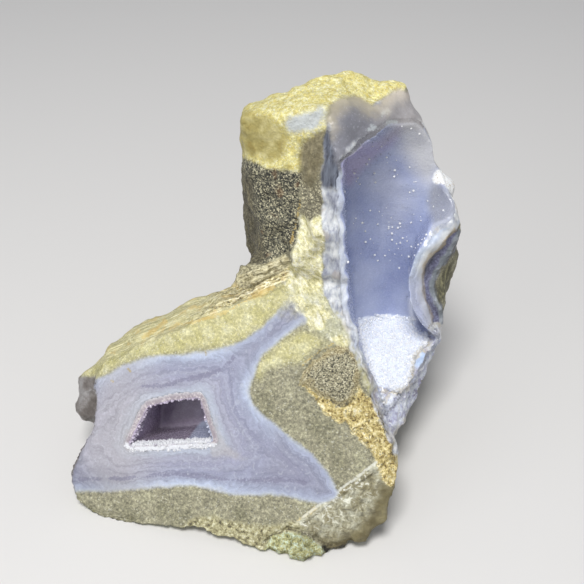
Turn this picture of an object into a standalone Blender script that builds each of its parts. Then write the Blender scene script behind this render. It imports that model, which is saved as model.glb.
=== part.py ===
"""A piece of blue chalcedony in chert, broken to the shape of a boot.

The foot lies to the front left and ends in a flat sawn face, in which a banded vein runs round a small
pocket of crystals. The leg stands at the back right. It is hollow to the front and right: a tall niche
with a curtained left edge, a folded right edge and a floor of crystals.

The origin is on the flat that the stone rests on, +Z is up, and the sawn face looks to -Y. Corners are
written in millimetres from a datum at the toe of the foot, and every mesh is made in metres.
"""
import math
import random

import bmesh
import bpy
from mathutils import Matrix, Vector
from mathutils.bvhtree import BVHTree

MM = 0.001

# Where the part's origin lies, measured from the datum.
ORIGIN = Vector((0.0, 20.0, 0.0))

# The sawn face: a plane through FACE_FOOT, which leans back and turns to the left.
FACE_FOOT = Vector((-0.3, 2.5, 1.9))
FACE_LEAN = math.radians(32.0)
FACE_TURN = math.radians(15.0)
ACROSS = Vector((math.cos(FACE_TURN), -math.sin(FACE_TURN), 0.0))
OUT = Vector((
    -math.sin(FACE_TURN) * math.cos(FACE_LEAN),
    -math.cos(FACE_TURN) * math.cos(FACE_LEAN),
    math.sin(FACE_LEAN),
))
UP = OUT.cross(ACROSS)
SAW_LEFT = -40.0
SAW_RIGHT = 26.0
SAW_BOTTOM = -12.0
SAW_TOP = 35.2
SAW_REACH = 30.0
SAW_TOP_RISE = 24.0
GROUND_WIDTH = 120.0
GROUND_DEPTH = 30.0

# The foot from in front of the sawn face to its back, which narrows towards FOOT_MIDDLE on the face.
FOOT_PROUD = 1.2
FOOT_DEPTH = 17.0
FOOT_TAPER = 0.82
FOOT_MIDDLE = Vector((-14.0, 12.0))

# The pocket from in front of the sawn face to its end.
POCKET_PROUD = 2.0
POCKET_DEPTH = 7.5

# Clearance between the stone and a crust, and the crust's own thickness.
GAP = 0.35
CRUST_THICKNESS = 0.8
CRUST_TRIM = 0.45

# Points closer than this are one.
WELD = 0.0001

# The squares that overlapping skins are fused into, and how often each skin is smoothed.
FORM_VOXEL = 0.9
NICHE_VOXEL = 0.8
POCKET_VOXEL = 0.5
FORM_SMOOTHING = 2
NICHE_SMOOTHING = 3
POCKET_SMOOTHING = 1

# Surface of the broken stone: broad roughness, and chips in it.
ROUGH_SIZE = 7.0
ROUGH_HEIGHT = 1.5
CHIP_SIZE = 3.2
CHIP_HEIGHT = 0.8

# Triangle budgets of the block before it is cut, and of the two hollows.
BLOCK_TRIANGLES = 5600
NICHE_TRIANGLES = 1500
POCKET_TRIANGLES = 260

# Crystals on the two crusts: how many, how far each stands up, and the seed of their places.
NICHE_CRYSTALS = 64
NICHE_CRYSTAL_SIZES = (0.5, 0.9)
NICHE_SEED = 11
POCKET_CRYSTALS = 20
POCKET_CRYSTAL_SIZES = (0.3, 0.55)
POCKET_SEED = 12

# A crystal's sides, its lean, and its width, its sunk foot and its room as shares of how far it stands up.
CRYSTAL_SIDES = 6
CRYSTAL_LEAN = 0.35
CRYSTAL_WIDTH = 1.1
CRYSTAL_SUNK = 0.5
CRYSTAL_ROOM = 0.62

# Crystals grow where the crust's skin lies this near the hollow, as a share of its thickness. The floor is
# where the skin looks up at least this steeply, and it gets this share of the crystals.
SKIN_NEAR = 0.4
FLOOR_SLOPE = 0.6
FLOOR_SHARE = 0.6
TRIES_A_CRYSTAL = 40

# Segments and rings of a lump.
LUMP_SEGMENTS = 12
LUMP_RINGS = 8

# The outline of the sawn face, across and up the face from FACE_FOOT.
FACE_OUTLINE = (
    (-30.3, 17.1), (-29.7, 10.1), (-30.8, 6.8), (-31.7, 2.3), (-29.9, -0.2), (-26.1, -1.2),
    (-18.1, -1.0), (-13.1, -0.5), (-7.4, -1.1), (-2.5, -1.9), (2.9, -1.4), (7.9, 1.0),
    (10.7, 4.2), (12.5, 7.8), (12.6, 12.8), (10.2, 16.3), (6.8, 21.6), (4.3, 27.0),
    (1.0, 30.4), (-3.5, 34.2), (-7.3, 32.9), (-16.1, 27.2), (-22.6, 23.2), (-29.3, 19.2),
)

# The pocket's mouth in the sawn face, and its end inside, whose roof stays level.
POCKET_MOUTH = (
    (-23.8, 8.8), (-22.9, 11.6), (-21.8, 14.5), (-18.7, 15.9), (-14.8, 17.0), (-13.6, 14.4), (-12.2, 11.7),
)
POCKET_END = (
    (-22.4, 9.6), (-22.4, 13.5), (-21.0, 18.2), (-18.2, 20.8), (-15.4, 21.0), (-13.6, 17.0), (-12.6, 12.2),
)

# Corners of the foot behind the face: its top falls back to a ridge, and the back falls to the ground.
FOOT_BACK = (
    (-26.0, 19.9, 18.1), (-18.9, 20.3, 21.6), (-12.1, 20.6, 25.0), (-2.8, 21.2, 29.8), (1.0, 21.6, 30.6),
    (-25.8, 24.5, 17.0), (-19.4, 26.5, 20.6), (-12.3, 27.5, 23.2), (-6.8, 28.5, 25.3), (0.0, 30.0, 26.0),
    (-26.6, 27.0, 6.0), (-24.0, 27.0, 0.0), (-17.0, 34.0, 8.0), (-15.0, 34.5, 0.0), (-5.0, 38.0, 12.0),
    (-4.0, 38.0, 0.0), (-20.0, 14.0, 4.0), (0.0, 12.0, 4.0),
)
LEFT_LOBE = (
    (-30.0, 22.3, 13.8), (-30.6, 20.9, 12.2), (-29.2, 19.6, 9.4), (-27.0, 25.0, 14.6), (-28.2, 24.5, 8.0),
    (-27.5, 19.5, 5.0), (-26.4, 21.4, 16.2), (-25.0, 19.0, 7.0),
)

# Corners of the leg: its left and front, the cap at the top, the right edge and the back.
LEG = (
    (-6.5, 29.0, 50.9), (-6.5, 37.5, 47.6), (-5.5, 40.0, 43.0), (3.9, 25.7, 53.4), (5.1, 24.6, 51.2),
    (3.5, 35.0, 53.0), (7.4, 37.0, 53.1), (13.2, 37.0, 51.0), (14.4, 33.0, 50.2), (17.0, 34.0, 47.2),
    (18.5, 34.0, 43.1), (19.4, 35.0, 38.4), (6.0, 21.5, 43.4), (6.6, 20.0, 35.5), (7.4, 18.2, 27.5),
    (-5.0, 28.0, 45.4), (-3.1, 24.7, 32.0), (0.5, 23.6, 31.0), (-6.9, 31.5, 37.3), (-5.9, 32.0, 26.4),
    (-6.0, 39.5, 28.0), (0.0, 41.5, 38.0), (9.0, 42.0, 40.0), (15.0, 40.5, 47.0), (19.5, 39.5, 38.0),
    (20.5, 40.0, 26.0), (21.8, 31.5, 27.0), (20.5, 30.5, 24.0), (0.0, 41.0, 24.0),
)
RIGHT_LOBE = (
    (20.4, 35.4, 38.3), (22.0, 34.0, 35.9), (22.6, 33.0, 33.0), (23.1, 31.3, 30.3), (22.2, 30.6, 25.4),
    (21.2, 28.8, 35.4), (19.4, 29.0, 26.0), (17.0, 27.0, 30.0), (18.0, 36.0, 37.0), (21.5, 37.5, 30.0),
    (18.0, 38.0, 25.0), (20.0, 36.0, 24.0), (14.0, 32.0, 30.0),
)

# Corners of the leg's lower half, below the niche: it overhangs the ground on the right.
LEG_BASE = (
    (7.4, 18.2, 27.5), (9.4, 16.0, 20.8), (12.2, 14.5, 14.9), (13.7, 13.2, 11.0), (22.2, 30.6, 25.4),
    (21.1, 30.2, 21.2), (21.5, 29.0, 18.7), (20.5, 26.0, 14.3), (18.4, 22.0, 11.3), (15.6, 17.5, 10.9),
    (20.5, 40.0, 26.0), (17.5, 40.5, 12.0), (12.0, 39.5, 0.0), (10.6, 30.0, 0.0), (10.6, 14.0, 0.0),
    (0.0, 41.5, 10.0), (-6.0, 39.0, 5.0), (-5.0, 38.0, 0.0), (-4.0, 20.0, 0.0), (-6.0, 34.0, 28.0),
    (-2.0, 26.0, 28.0),
)

# Corners of the flank between the sawn face and the niche's left edge.
FLANK = (
    (7.6, 15.2, 24.8), (9.3, 11.8, 20.2), (11.8, 8.2, 15.7), (13.6, 5.8, 12.8), (12.9, 3.2, 8.5),
    (10.7, 1.8, 5.4), (7.4, 18.2, 27.5), (9.4, 16.0, 20.8), (12.2, 14.5, 14.9), (13.7, 13.2, 11.0),
    (7.2, 4.5, 0.0), (9.8, 9.0, 0.0), (10.6, 14.0, 0.0), (0.0, 20.0, 0.0), (0.0, 16.0, 16.0),
    (1.0, 20.5, 29.0), (5.0, 17.6, 28.0),
)

# Lumps on the outside: centre and radius.
LUMPS = (
    ((1.6, 22.4, 34.6), 2.3),
    ((3.6, 21.6, 38.6), 1.9),
    ((3.0, 20.8, 30.8), 2.2),
    ((-3.6, 25.4, 30.0), 2.4),
    ((-0.6, 24.6, 30.4), 2.0),
    ((-6.4, 29.8, 25.0), 1.8),
    ((1.2, 2.6, 1.6), 2.3),
    ((-1.4, 3.4, 1.2), 1.7),
    ((4.6, 3.0, 1.8), 1.6),
)

# The crystal skin of the niche, as level rings from the underside of the cap to the floor. Each ring goes
# from the left edge round the back to the right edge; the open side is added by niche_ring().
NICHE_RINGS = (
    ((5.6, 24.8, 49.4), (6.6, 26.6, 49.2), (10.0, 28.0, 49.1), (13.5, 29.8, 49.0), (17.5, 31.4, 49.0)),
    ((5.9, 23.4, 47.0), (6.9, 28.8, 46.8), (11.0, 31.0, 46.8), (16.0, 32.8, 47.0), (22.0, 33.8, 47.2)),
    ((6.2, 21.8, 43.6), (7.0, 31.0, 43.6), (12.0, 33.2, 43.6), (18.0, 34.4, 43.8), (26.0, 35.0, 44.0)),
    ((6.5, 20.6, 38.6), (7.0, 31.8, 38.6), (12.5, 33.8, 38.6), (19.0, 34.8, 39.0), (27.0, 35.2, 39.4)),
    ((6.7, 20.1, 35.6), (7.2, 32.0, 35.6), (12.5, 34.0, 35.8), (19.4, 34.0, 36.4), (23.0, 30.6, 37.0)),
    ((6.9, 19.6, 33.6), (7.3, 32.0, 33.6), (12.5, 34.0, 33.8), (18.6, 33.4, 34.0), (18.6, 27.4, 34.4)),
    ((7.1, 19.0, 31.0), (7.4, 32.0, 31.0), (12.5, 34.0, 31.0), (17.4, 33.0, 31.0), (16.2, 25.6, 31.0)),
    ((7.5, 18.2, 27.8), (7.8, 32.0, 27.8), (12.5, 33.8, 27.8), (16.8, 32.6, 27.8), (15.3, 24.9, 27.8)),
    ((8.4, 17.2, 24.4), (8.2, 31.8, 24.4), (13.0, 33.6, 24.4), (17.2, 32.4, 24.4), (15.9, 24.7, 24.4)),
    ((9.6, 16.1, 20.7), (8.6, 31.5, 20.7), (13.5, 33.4, 20.7), (18.7, 32.0, 20.7), (17.6, 25.2, 20.7)),
    ((11.2, 15.1, 17.0), (9.0, 31.0, 17.4), (14.0, 33.0, 17.4), (19.8, 31.6, 17.4), (20.0, 26.3, 17.2)),
    ((12.1, 14.7, 14.9), (9.6, 30.4, 15.8), (14.5, 32.2, 16.0), (19.6, 30.8, 15.9), (20.6, 26.4, 15.8)),
)
NICHE_OPEN_TO = Vector((0.8, -0.6, 0.0))
NICHE_OPEN_REACH = 14.0


def clear_scene():
    for old in list(bpy.data.objects):
        bpy.data.objects.remove(old, do_unlink=True)


def collection(name):
    found = bpy.data.collections.new(name)
    bpy.context.scene.collection.children.link(found)
    return found


clear_scene()
PARTS = collection("chalcedony")
CUTTERS = collection("cutters")


def world(point):
    """The place in metres of a point measured in millimetres from the datum."""
    return (Vector(point) - ORIGIN) * MM


def mesh_object(name, bm):
    """Turns a bmesh into an object among the cutters."""
    mesh = bpy.data.meshes.new(name)
    bm.to_mesh(mesh)
    bm.free()
    made = bpy.data.objects.new(name, mesh)
    CUTTERS.objects.link(made)
    return made


def face_outwards(bm):
    """Turns the faces of one closed skin outwards."""
    bmesh.ops.recalc_face_normals(bm, faces=bm.faces)
    if bm.calc_volume(signed=True) < 0.0:
        bmesh.ops.reverse_faces(bm, faces=bm.faces)


def hull(name, corners):
    """The convex hull of corners in millimetres."""
    bm = bmesh.new()
    for corner in corners:
        bm.verts.new(world(corner))
    made = bmesh.ops.convex_hull(bm, input=bm.verts)
    unused = [v for v in made["geom_interior"] if isinstance(v, bmesh.types.BMVert)]
    bmesh.ops.delete(bm, geom=list(set(unused)), context="VERTS")
    face_outwards(bm)
    return mesh_object(name, bm)


def loft(name, rings):
    """A closed skin through rings with equal numbers of points, in millimetres."""
    bm = bmesh.new()
    rows = [[bm.verts.new(world(point)) for point in ring] for ring in rings]
    for upper, lower in zip(rows, rows[1:]):
        for i in range(len(upper)):
            j = (i + 1) % len(upper)
            bm.faces.new((upper[i], upper[j], lower[j], lower[i]))
    bm.faces.new(rows[0])
    bm.faces.new(rows[-1])
    bmesh.ops.triangulate(bm, faces=bm.faces)
    face_outwards(bm)
    return mesh_object(name, bm)


def ball(name, centre, radius):
    bm = bmesh.new()
    bmesh.ops.create_uvsphere(
        bm,
        u_segments=LUMP_SEGMENTS,
        v_segments=LUMP_RINGS,
        radius=radius * MM,
        matrix=Matrix.Translation(world(centre)),
    )
    return mesh_object(name, bm)


def on_face(across, up, out=0.0):
    """A point in millimetres from its place on the sawn face."""
    return FACE_FOOT + ACROSS * across + UP * up + OUT * out


def as_mesh(source, name):
    """Replaces an object by a plain mesh of what its modifiers or curve make."""
    graph = bpy.context.evaluated_depsgraph_get()
    mesh = bpy.data.meshes.new_from_object(source.evaluated_get(graph))
    mesh.transform(source.matrix_world)
    bm = bmesh.new()
    bm.from_mesh(mesh)
    bmesh.ops.remove_doubles(bm, verts=bm.verts, dist=WELD * MM)
    bpy.data.objects.remove(source, do_unlink=True)
    return mesh_object(name, bm)


def joined(name, pieces):
    """One object that holds several closed skins."""
    bm = bmesh.new()
    for piece in pieces:
        bm.from_mesh(piece.data)
        bpy.data.objects.remove(piece, do_unlink=True)
    return mesh_object(name, bm)


def copy_of(source, name):
    made = bpy.data.objects.new(name, source.data.copy())
    CUTTERS.objects.link(made)
    return made


def remesh(piece, voxel):
    """Fuses overlapping skins into one of even squares."""
    fuse = piece.modifiers.new("fuse", "REMESH")
    fuse.mode = "VOXEL"
    fuse.voxel_size = voxel * MM


def smooth(piece, times):
    soften = piece.modifiers.new("soften", "SMOOTH")
    soften.factor = 0.5
    soften.iterations = times


def displace(piece, kind, size, height):
    """Pushes the surface in and out by a noise texture."""
    texture = bpy.data.textures.new(piece.name + "_" + kind.lower(), kind)
    texture.noise_scale = size * MM
    push = piece.modifiers.new("push", "DISPLACE")
    push.texture = texture
    push.texture_coords = "LOCAL"
    push.strength = height * MM


def offset(piece, distance):
    """Moves the surface out along its normals, or in for a negative distance."""
    move = piece.modifiers.new("offset", "DISPLACE")
    move.strength = distance * MM
    move.mid_level = 0.0


def decimate(piece, triangles):
    """Applies the modifiers and thins the mesh to about a number of triangles."""
    piece = as_mesh(piece, piece.name)
    count = sum(len(polygon.vertices) - 2 for polygon in piece.data.polygons)
    thin = piece.modifiers.new("thin", "DECIMATE")
    thin.ratio = min(1.0, triangles / count)
    thin.use_collapse_triangulate = True
    return as_mesh(piece, piece.name)


def boolean(piece, tool, operation, solver="EXACT"):
    cut = piece.modifiers.new(operation.lower(), "BOOLEAN")
    cut.operation = operation
    cut.solver = solver
    cut.object = tool
    tool.hide_render = True
    tool.display_type = "WIRE"


def largest_body(piece):
    """Keeps the biggest of the closed skins in a mesh."""
    bm = bmesh.new()
    bm.from_mesh(piece.data)
    seen = set()
    bodies = []
    for start in bm.faces:
        if start in seen:
            continue
        body = {start}
        edge_of_search = [start]
        while edge_of_search:
            face = edge_of_search.pop()
            for edge in face.edges:
                for other in edge.link_faces:
                    if other not in body:
                        body.add(other)
                        edge_of_search.append(other)
        seen |= body
        bodies.append(body)
    keep = max(bodies, key=len)
    bmesh.ops.delete(bm, geom=[face for face in bm.faces if face not in keep], context="FACES")
    bm.to_mesh(piece.data)
    bm.free()


def material(name, colour, roughness):
    made = bpy.data.materials.new(name)
    made.use_nodes = True
    shader = made.node_tree.nodes["Principled BSDF"]
    shader.inputs["Base Color"].default_value = (*colour, 1.0)
    shader.inputs["Roughness"].default_value = roughness
    shader.inputs["Metallic"].default_value = 0.0
    return made


def niche_ring(ring):
    """Closes a ring of the niche through two points out in the open."""
    left = Vector(ring[0]) + NICHE_OPEN_TO * NICHE_OPEN_REACH
    right = Vector(ring[-1]) + NICHE_OPEN_TO * NICHE_OPEN_REACH
    return (left, *[Vector(point) for point in ring], right)


def foot():
    """The foot, from a little proud of the sawn face to its narrower back."""
    narrow = [FOOT_MIDDLE.lerp(Vector(point), FOOT_TAPER) for point in FACE_OUTLINE]
    front = [on_face(across, up, FOOT_PROUD) for across, up in FACE_OUTLINE]
    back = [on_face(across, up, -FOOT_DEPTH) for across, up in narrow]
    return loft("foot", (front, back))


def rough_block():
    """The whole stone before the saw and without its hollows."""
    pieces = [
        foot(),
        hull("foot_back", FOOT_BACK),
        hull("left_lobe", LEFT_LOBE),
        hull("leg", LEG),
        hull("right_lobe", RIGHT_LOBE),
        hull("leg_base", LEG_BASE),
        hull("flank", FLANK),
    ]
    pieces += [ball("lump", centre, radius) for centre, radius in LUMPS]
    block = joined("block", pieces)
    remesh(block, FORM_VOXEL)
    smooth(block, FORM_SMOOTHING)
    displace(block, "CLOUDS", ROUGH_SIZE, ROUGH_HEIGHT)
    displace(block, "VORONOI", CHIP_SIZE, CHIP_HEIGHT)
    return decimate(block, BLOCK_TRIANGLES)


def saw_block():
    """What the saw took away in front of the sawn face; its top slopes up and out."""
    corners = []
    for across in (SAW_LEFT, SAW_RIGHT):
        corners += [
            on_face(across, SAW_BOTTOM),
            on_face(across, SAW_TOP),
            on_face(across, SAW_BOTTOM, SAW_REACH),
            on_face(across, SAW_TOP + SAW_TOP_RISE, SAW_REACH),
        ]
    return hull("saw_cut", corners)


def ground_block():
    """What lies below the ground, so that the stone rests on a flat."""
    bm = bmesh.new()
    size = Matrix.Diagonal((GROUND_WIDTH * MM, GROUND_WIDTH * MM, GROUND_DEPTH * MM, 1.0))
    bmesh.ops.create_cube(bm, size=1.0, matrix=Matrix.Translation((0.0, 0.0, -GROUND_DEPTH / 2 * MM)) @ size)
    return mesh_object("ground", bm)


def niche_hollow():
    """The niche in the bare stone: the crystal skin moved out by the crust and its gap."""
    hollow = loft("niche_hollow", [niche_ring(ring) for ring in NICHE_RINGS])
    remesh(hollow, NICHE_VOXEL)
    smooth(hollow, NICHE_SMOOTHING)
    offset(hollow, GAP + CRUST_THICKNESS)
    return decimate(hollow, NICHE_TRIANGLES)


def pocket_hollow():
    """The pocket runs from just in front of the saw cut to its end inside."""
    front = [on_face(across, up, POCKET_PROUD) for across, up in POCKET_MOUTH]
    mouth = [on_face(across, up) for across, up in POCKET_MOUTH]
    end = [on_face(across, up, -POCKET_DEPTH) for across, up in POCKET_END]
    hollow = loft("pocket_hollow", (front, mouth, end))
    remesh(hollow, POCKET_VOXEL)
    smooth(hollow, POCKET_SMOOTHING)
    offset(hollow, GAP + CRUST_THICKNESS)
    return decimate(hollow, POCKET_TRIANGLES)


def crystal(bm, place, out, size, rng):
    """A six-sided point that stands up by its size, on a foot sunk in the crust."""
    lean = Vector([rng.uniform(-CRYSTAL_LEAN, CRYSTAL_LEAN) for _ in range(3)])
    turn = (out + lean).normalized().to_track_quat("Z", "Y").to_matrix().to_4x4()
    spin = Matrix.Rotation(rng.uniform(0.0, math.pi), 4, "Z")
    depth = size * (1.0 + CRYSTAL_SUNK)
    lift = Matrix.Translation((0.0, 0.0, depth / 2 - size * CRYSTAL_SUNK))
    bmesh.ops.create_cone(
        bm,
        cap_ends=True,
        segments=CRYSTAL_SIDES,
        radius1=size * CRYSTAL_WIDTH / 2,
        radius2=0.0,
        depth=depth,
        matrix=Matrix.Translation(place) @ turn @ spin @ lift,
    )


def crystals_on(coat, inner, count, sizes, seed):
    """Crystal points spread over the side of a crust that faces the hollow, most of them on its floor."""
    rng = random.Random(seed)
    corners = [vertex.co for vertex in inner.data.vertices]
    tree = BVHTree.FromPolygons(corners, [face.vertices for face in inner.data.polygons])
    floor = []
    walls = []
    for face in coat.data.polygons:
        if tree.find_nearest(face.center)[3] < CRUST_THICKNESS * SKIN_NEAR * MM:
            pool = floor if face.normal.z > FLOOR_SLOPE else walls
            pool.append((face.center.copy(), face.normal.copy()))
    points = bmesh.new()
    placed = []
    for _ in range(count * TRIES_A_CRYSTAL):
        pool = floor if floor and rng.random() < FLOOR_SHARE else walls
        centre, normal = rng.choice(pool)
        size = rng.uniform(*sizes) * MM
        clear = all((centre - other).length > (size + reach) * CRYSTAL_ROOM for other, reach in placed)
        if clear and len(placed) < count:
            placed.append((centre, size))
            crystal(points, centre, normal, size, rng)
    return mesh_object(coat.name + "_points", points)


def crust(name, hollow, block, voxel, count, sizes, seed):
    """A thin coat on the wall of a hollow, with crystal points."""
    coat = copy_of(hollow, name)
    offset(coat, -GAP)
    coat = as_mesh(coat, name)
    inner = copy_of(hollow, name + "_inside")
    offset(inner, -(GAP + CRUST_THICKNESS))
    remesh(inner, voxel)
    inner = decimate(inner, len(hollow.data.polygons))
    trim = copy_of(block, name + "_trim")
    offset(trim, -CRUST_TRIM)
    trim = as_mesh(trim, name + "_trim")
    boolean(coat, trim, "INTERSECT", "MANIFOLD")
    boolean(coat, inner, "DIFFERENCE", "MANIFOLD")
    coat = as_mesh(coat, name)
    largest_body(coat)
    points = crystals_on(coat, inner, count, sizes, seed)
    boolean(coat, points, "UNION", "MANIFOLD")
    coat = as_mesh(coat, name)
    largest_body(coat)
    return coat


def finish(piece, colour, roughness):
    """Moves a finished piece into the part's collection and gives it its material."""
    CUTTERS.objects.unlink(piece)
    PARTS.objects.link(piece)
    piece.data.materials.clear()
    piece.data.materials.append(material(piece.name, colour, roughness))
    piece.data.shade_flat()


block = rough_block()
boolean(block, saw_block(), "DIFFERENCE")
boolean(block, ground_block(), "DIFFERENCE")
block = as_mesh(block, "block")
largest_body(block)

niche = niche_hollow()
pocket = pocket_hollow()

niche_druse = crust(
    "niche_druse", niche, block, NICHE_VOXEL, NICHE_CRYSTALS, NICHE_CRYSTAL_SIZES, NICHE_SEED,
)
pocket_druse = crust(
    "pocket_druse", pocket, block, POCKET_VOXEL, POCKET_CRYSTALS, POCKET_CRYSTAL_SIZES, POCKET_SEED,
)

stone = copy_of(block, "chalcedony_stone")
boolean(stone, niche, "DIFFERENCE")
boolean(stone, pocket, "DIFFERENCE")
stone = as_mesh(stone, "chalcedony_stone")
largest_body(stone)

finish(stone, (0.38, 0.37, 0.30), 0.6)
finish(niche_druse, (0.50, 0.54, 0.72), 0.3)
finish(pocket_druse, (0.55, 0.52, 0.58), 0.3)

for spare in CUTTERS.objects:
    spare.hide_render = True
    spare.display_type = "WIRE"
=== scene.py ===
"""The looks of a piece of blue chalcedony in chert.

The stone, the crust of its niche and the crust of its pocket are made again as fine meshes, from the same
forms as the solids. Places on the stone are written in millimetres from a datum at the toe of the foot.
Outlines of colours and of broken ground are written in pixels of the 584 x 584 view that the camera gives,
and are laid on the stone along its rays; what that view doesn't reach follows rules of height and noise.
"""

import math
import random

import bmesh
import bpy
import numpy as np
from mathutils import Matrix, Vector, noise
from mathutils.bvhtree import BVHTree

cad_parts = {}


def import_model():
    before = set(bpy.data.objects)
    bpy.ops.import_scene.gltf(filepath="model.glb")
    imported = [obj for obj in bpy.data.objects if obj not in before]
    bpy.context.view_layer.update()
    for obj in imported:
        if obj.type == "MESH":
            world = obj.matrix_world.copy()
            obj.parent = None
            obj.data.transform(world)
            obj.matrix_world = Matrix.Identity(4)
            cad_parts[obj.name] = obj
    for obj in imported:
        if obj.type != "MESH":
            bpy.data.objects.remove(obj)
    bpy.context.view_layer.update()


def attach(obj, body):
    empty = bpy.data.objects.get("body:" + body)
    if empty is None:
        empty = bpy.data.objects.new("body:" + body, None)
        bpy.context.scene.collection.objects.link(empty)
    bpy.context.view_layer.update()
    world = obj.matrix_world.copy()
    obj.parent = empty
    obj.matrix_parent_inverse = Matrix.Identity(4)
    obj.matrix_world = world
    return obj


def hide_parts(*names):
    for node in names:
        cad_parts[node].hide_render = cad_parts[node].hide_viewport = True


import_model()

MM = 0.001
BODY = "root"

# Where the part's origin lies, measured from the datum.
ORIGIN = Vector((0.0, 20.0, 0.0))

# The camera: what it looks at, how steeply, and how far off. One pixel there is PIXEL millimetres.
VIEW_SIZE = 584
PIXEL = 0.125
LENS = 60.0
SENSOR = 36.0
ELEVATION = math.radians(38.0)
TARGET = Vector((0.0, 18.0, 32.0))
FOCAL = LENS / SENSOR * VIEW_SIZE
DISTANCE = FOCAL * PIXEL
LOOK = Vector((0.0, math.cos(ELEVATION), -math.sin(ELEVATION)))
LOOK_UP = Vector((0.0, math.sin(ELEVATION), math.cos(ELEVATION)))
LOOK_RIGHT = Vector((1.0, 0.0, 0.0))
EYE = TARGET - LOOK * DISTANCE

# The sawn face: a plane through FACE_FOOT, which leans back and turns to the left.
FACE_FOOT = Vector((-0.3, 2.5, 1.9))
FACE_LEAN = math.radians(32.0)
FACE_TURN = math.radians(15.0)
ACROSS = Vector((math.cos(FACE_TURN), -math.sin(FACE_TURN), 0.0))
OUT = Vector((
    -math.sin(FACE_TURN) * math.cos(FACE_LEAN),
    -math.cos(FACE_TURN) * math.cos(FACE_LEAN),
    math.sin(FACE_LEAN),
))
UP = OUT.cross(ACROSS)
SAW_LEFT = -40.0
SAW_RIGHT = 26.0
SAW_BOTTOM = -12.0
SAW_TOP = 35.2
SAW_REACH = 30.0
SAW_TOP_RISE = 24.0
GROUND_WIDTH = 120.0
GROUND_DEPTH = 30.0

FOOT_PROUD = 1.2
FOOT_DEPTH = 17.0
FOOT_TAPER = 0.82
FOOT_MIDDLE = Vector((-14.0, 12.0))
POCKET_PROUD = 2.0
POCKET_DEPTH = 7.5

FORM_VOXEL = 0.9
FORM_SMOOTHING = 2
ROUGH_SIZE = 7.0
ROUGH_HEIGHT = 1.5
CHIP_SIZE = 3.2
CHIP_HEIGHT = 0.8

# The fine meshes, and how far a crust reaches back into the stone.
STONE_VOXEL = 0.27
CRUST_VOXEL = 0.25
POCKET_VOXEL = 0.16
NICHE_SKIN_VOXEL = 0.5
NICHE_SMOOTHING = 6
POCKET_SKIN_VOXEL = 0.3
POCKET_SMOOTHING = 2
GROWN_VOXEL = 0.35
CRUST_THICKNESS = 0.95
CRUST_SUNK = 0.3
STONE_TRIANGLES = 190000
LEAST_KEPT = 0.25

FACE_OUTLINE = (
    (-30.3, 17.1), (-29.7, 10.1), (-31.0, 6.8), (-32.2, 2.2), (-30.9, -0.8), (-26.6, -1.9),
    (-18.1, -1.4), (-13.1, -0.5), (-7.4, -1.1), (-2.5, -1.9), (2.9, -1.4), (7.9, 1.0),
    (10.7, 4.2), (12.5, 7.8), (12.6, 12.8), (10.2, 16.3), (6.8, 21.6), (4.3, 27.0),
    (1.0, 30.4), (-3.5, 34.2), (-7.3, 32.9), (-16.1, 27.2), (-22.6, 23.2), (-29.3, 19.2),
)
POCKET_MOUTH = (
    (-23.8, 8.8), (-22.9, 11.6), (-21.8, 14.5), (-18.7, 15.9), (-14.8, 17.0), (-13.6, 14.4),
    (-12.2, 11.7),
)
POCKET_END = (
    (-22.4, 9.6), (-22.4, 13.5), (-21.0, 18.2), (-18.2, 20.8), (-15.4, 21.0), (-13.6, 17.0),
    (-12.6, 12.2),
)
FOOT_BACK = (
    (-26.0, 19.9, 18.1), (-18.9, 20.3, 21.6), (-12.1, 20.6, 25.0), (-2.8, 21.2, 29.8), (1.0, 21.6, 30.6),
    (-25.8, 24.5, 17.8), (-19.4, 26.5, 21.4), (-12.3, 27.5, 23.9), (-6.8, 28.5, 25.6), (0.0, 30.0, 26.0),
    (-26.6, 27.0, 6.0), (-24.0, 27.0, 0.0), (-17.0, 34.0, 8.0), (-15.0, 34.5, 0.0), (-5.0, 38.0, 12.0),
    (-4.0, 38.0, 0.0), (-20.0, 14.0, 4.0), (0.0, 12.0, 4.0),
)
LEFT_LOBE = (
    (-30.0, 22.3, 13.8), (-30.6, 20.9, 12.2), (-29.2, 19.6, 9.4), (-27.0, 25.0, 14.6), (-28.2, 24.5, 8.0),
    (-27.5, 19.5, 5.0), (-26.4, 21.4, 16.2), (-25.0, 19.0, 7.0),
)
LEG = (
    (-6.5, 29.0, 50.9), (-6.5, 37.5, 47.6), (-5.5, 40.0, 43.0), (3.9, 25.7, 53.4), (5.1, 24.6, 51.2),
    (3.5, 35.0, 53.0), (7.4, 37.0, 53.1), (13.2, 37.0, 51.0), (14.4, 33.0, 50.2), (17.0, 34.0, 47.2),
    (18.5, 34.0, 43.1), (19.4, 35.0, 38.4), (6.0, 21.5, 43.4), (6.6, 20.0, 35.5), (7.4, 18.2, 27.5),
    (-5.0, 28.0, 45.4), (-3.1, 24.7, 32.0), (0.5, 23.6, 31.0), (-6.9, 31.5, 37.3), (-5.9, 32.0, 26.4),
    (-6.0, 39.5, 28.0), (0.0, 41.5, 38.0), (9.0, 42.0, 40.0), (15.0, 40.5, 47.0), (19.5, 39.5, 38.0),
    (20.5, 40.0, 26.0), (21.8, 31.5, 27.0), (20.5, 30.5, 24.0), (0.0, 41.0, 24.0),
)
RIGHT_LOBE = (
    (20.4, 35.4, 38.3), (22.0, 34.0, 35.9), (22.6, 33.0, 33.0), (23.1, 31.3, 30.3), (22.2, 30.6, 25.4),
    (21.2, 28.8, 35.4), (19.4, 29.0, 26.0), (17.0, 27.0, 30.0), (18.0, 36.0, 37.0), (21.5, 37.5, 30.0),
    (18.0, 38.0, 25.0), (20.0, 36.0, 24.0), (14.0, 32.0, 30.0),
)
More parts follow.
